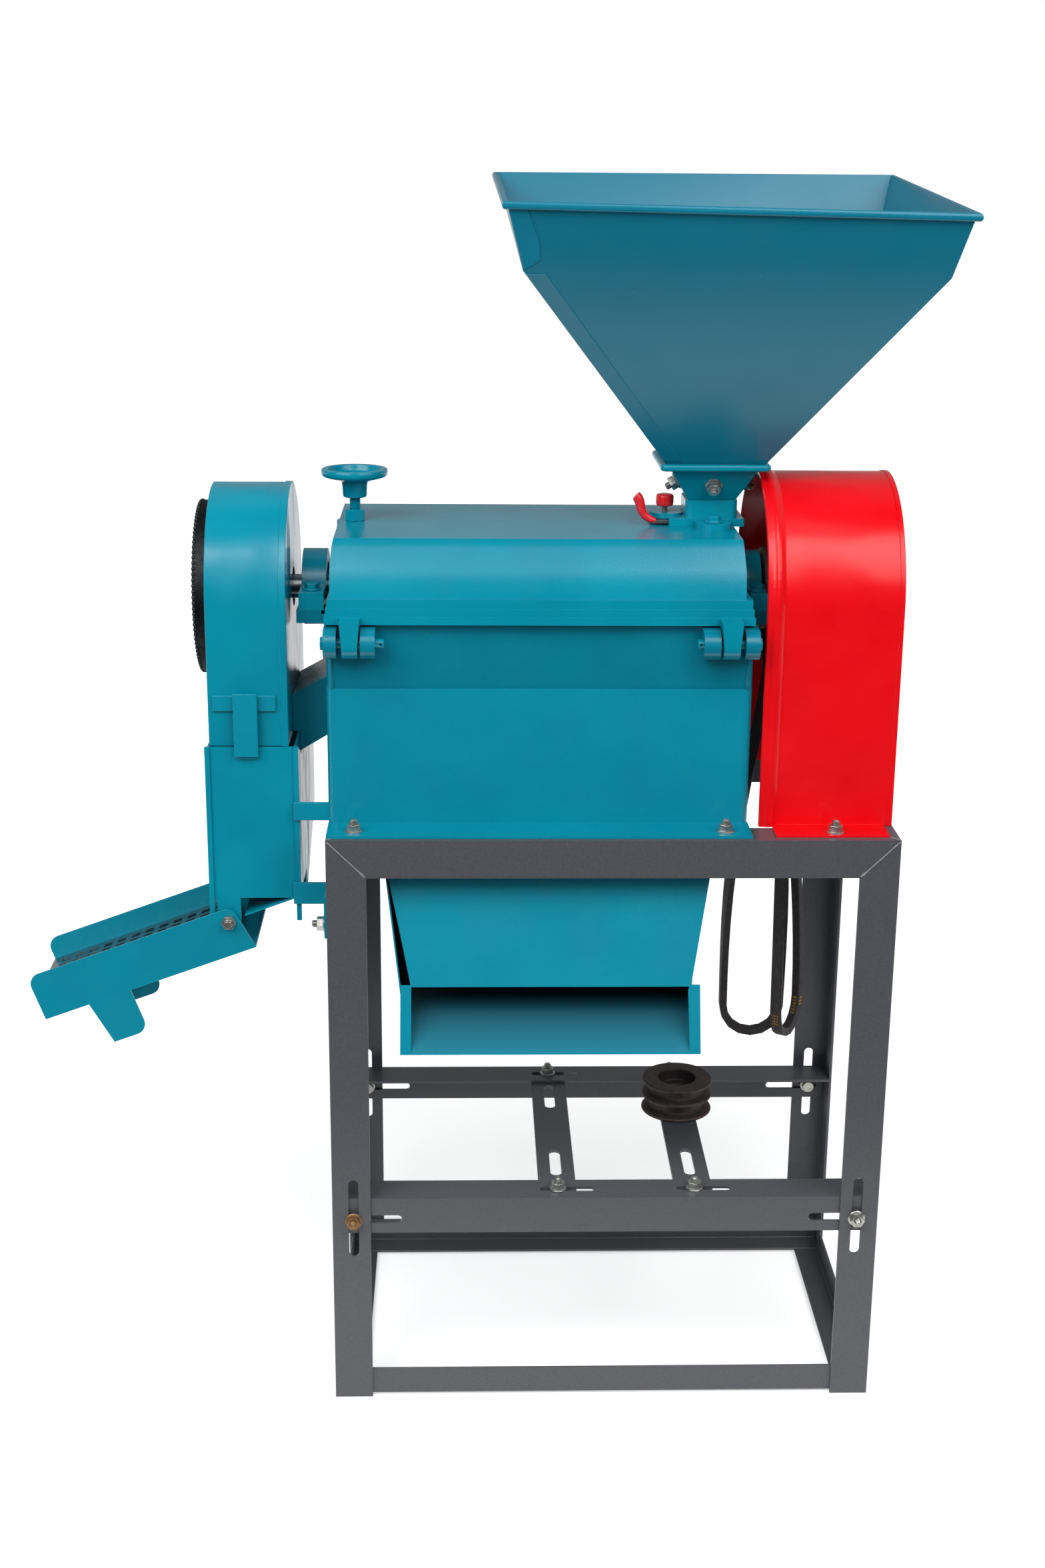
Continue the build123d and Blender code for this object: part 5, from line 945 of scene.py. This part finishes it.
# The bead's grey is much lighter than the stand's paint: a painted highlight along the weld.
shader.inputs["Base Color"].default_value = hex_colour("#77787d")
shader.inputs["Roughness"].default_value = 0.32
weld_steps, blob_step, weld_radius = 14, 13, 0.9
weld_swell = [0.75 + 0.3 * ((index * 7) % 5) / 4 + (0.9 if index == blob_step else 0.0)
              for index in range(weld_steps + 1)]
weld_pieces = []
for outer_x, inner_x in ((-286.5, -248.5), (286.5, 248.5)):
    on_front = ((outer_x, 0.2, beam_top - 1.5), (inner_x, 0.2, beam_top - 39))
    on_top = ((outer_x, 1.5, beam_top - 0.2), (inner_x, 39, beam_top - 0.2))
    for outer, inner in (on_front, on_top):
        places = [at(*along(outer, inner, index / weld_steps)) for index in range(weld_steps + 1)]
        weld = line_piece("weld", places, thick_mm=weld_radius, swell=weld_swell)
        bpy.ops.object.shade_smooth()
        weld_pieces.append(painted(weld, weld_paint_with_painted_highlight))
welds = joined(weld_pieces, "weld_beads")
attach(welds, body_of_node["top_beam_front"])
print("weld beads", len(weld_pieces))

# %% [markdown]
# Belts carry a printed row of marks. The row here is plain dashes of gold pigment on the outer belt, laid on
# its broad faces near the lower bend. One dash is modelled and copied, each copy a hair above its face.

# %% Marks on the belt
gold, tree, shader, place = new_material("gold_print")
shader.inputs["Base Color"].default_value = hex_colour("#a97f2c")
shader.inputs["Roughness"].default_value = 0.6
lowest_mark, highest_mark, least_width = 370, 425, 7
dash_long, dash_wide, dash_high, lift = 1.9, 0.8, 0.1, 0.12
columns, pitch, printed_share = 4, 3.2, 0.62
select_only(camera)
bpy.ops.mesh.primitive_cube_add(size=1.0)
dash = bpy.context.object
dash.data.transform(Matrix.Diagonal((dash_long * mm, dash_wide * mm, dash_high * mm, 1.0)))
belt = bpy.data.objects["belt_outer_dressed"].data
marks = []
for face in belt.polygons:
    height = (face.center - stand_middle).z / mm
    if not (lowest_mark < height < highest_mark and face.normal.y < -0.35 and len(face.vertices) == 4):
        continue
    points = [belt.vertices[i].co for i in face.vertices]
    across, lengthways = sorted((points[1] - points[0], points[2] - points[1]), key=lambda side: side.length)
    if across.length < least_width * mm:
        continue
    turn = Matrix((lengthways.normalized(), across.normalized(), face.normal)).transposed().to_4x4()
    rows = max(1, int(lengthways.length / (pitch * mm)))
    for row in range(rows):
        for column in range(columns):
            share_along = (row + 0.5) / rows - 0.5
            share_across = ((column + 0.5) / columns - 0.5) * printed_share
            spot = face.center + lengthways * share_along + across * share_across + face.normal * lift * mm
            marks.append(copy_to(dash, Matrix.Translation(spot) @ turn))
bpy.data.objects.remove(dash)
print("belt marks", len(marks))
printed = painted(joined(marks, "belt_outer_marks"), gold)
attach(printed, body_of_node["belt_outer"])

# %% [markdown]
# The studio is plain: a white backdrop behind and above the machine, and a dark room towards the camera.
# The front faces mirror the dark and keep their full colour, while tops and sides, seen at a low angle,
# mirror the white. The floor ends just before the machine for the same reason. Broad softboxes hang at the
# left, the right and behind the camera, and an even, weak light from all sides fills the shadows. The floor
# glows a little to the camera, more with the distance, so that it fades into the backdrop.

# %% Studio
bpy.context.scene.view_settings.view_transform = "Standard"
world = bpy.data.worlds.new("studio")
bpy.context.scene.world = world
world.use_nodes = True
tree = world.node_tree
background = tree.nodes["Background"]
direction = add_node(tree, "ShaderNodeTexCoord").outputs["Generated"]
parts = add_node(tree, "ShaderNodeSeparateXYZ", None, {0: direction})
behind = remap(tree, parts.outputs["Y"], 0.0, 0.3, 0.0, 1.0)
light_path = add_node(tree, "ShaderNodeLightPath").outputs
mirrored = combined(tree, "MULTIPLY", behind, light_path["Is Glossy Ray"])
overhead = remap(tree, parts.outputs["Z"], 0.0, 0.12, 0.8, 0.3)
mirrored = combined(tree, "MULTIPLY", mirrored, overhead)
seen = combined(tree, "MAXIMUM", mirrored, light_path["Is Camera Ray"])
ambient = combined(tree, "MULTIPLY", light_path["Is Diffuse Ray"], 0.3)
tree.links.new(combined(tree, "MAXIMUM", seen, ambient), background.inputs["Strength"])
background.inputs["Color"].default_value = grey(1.0)

floor_half, floor_front = 6.0, -0.65
bpy.ops.object.select_all(action="DESELECT")
bpy.ops.mesh.primitive_plane_add(size=2 * floor_half, location=(0, floor_half + floor_front, cad_low.z))
bpy.ops.object.transform_apply(location=True)
floor = bpy.context.object
floor.name = "floor"
floor_paint, tree, shader, place = new_material("pale_floor")
shader.inputs["Base Color"].default_value = hex_colour("#f0f0f0")
shader.inputs["Roughness"].default_value = 0.8
shader.inputs["Specular IOR Level"].default_value = 0.2
light_path = add_node(tree, "ShaderNodeLightPath").outputs
away = add_node(tree, "ShaderNodeVectorMath", {"operation": "LENGTH"}, {0: place}).outputs["Value"]
glow = remap(tree, away, 0.6, 2.5, 0.5, 0.95)
watched = combined(tree, "MAXIMUM", light_path["Is Camera Ray"], light_path["Is Glossy Ray"])
tree.links.new(combined(tree, "MULTIPLY", watched, glow), shader.inputs["Emission Strength"])
shader.inputs["Emission Color"].default_value = grey(1.0)
floor.data.materials.append(floor_paint)


def softbox(name, place, target, width, height, watts):
    """A rectangular lamp that looks at a target."""
    data = bpy.data.lights.new(name, "AREA")
    data.shape = "RECTANGLE"
    data.size, data.size_y = width, height
    data.energy = watts
    lamp = bpy.data.objects.new(name, data)
    bpy.context.scene.collection.objects.link(lamp)
    lamp.location = place
    lamp.rotation_euler = (target - place).to_track_quat("-Z", "Y").to_euler()


machine_middle = at(-50, 170, 650)
softbox("left", at(-1600, -1600, 2500), machine_middle, 2.2, 2.0, 66.0)
softbox("right", at(1400, -1500, 2500), machine_middle, 2.2, 2.0, 50.0)
softbox("front", at(-150, -2000, 3200), machine_middle, 2.6, 2.0, 18.0)
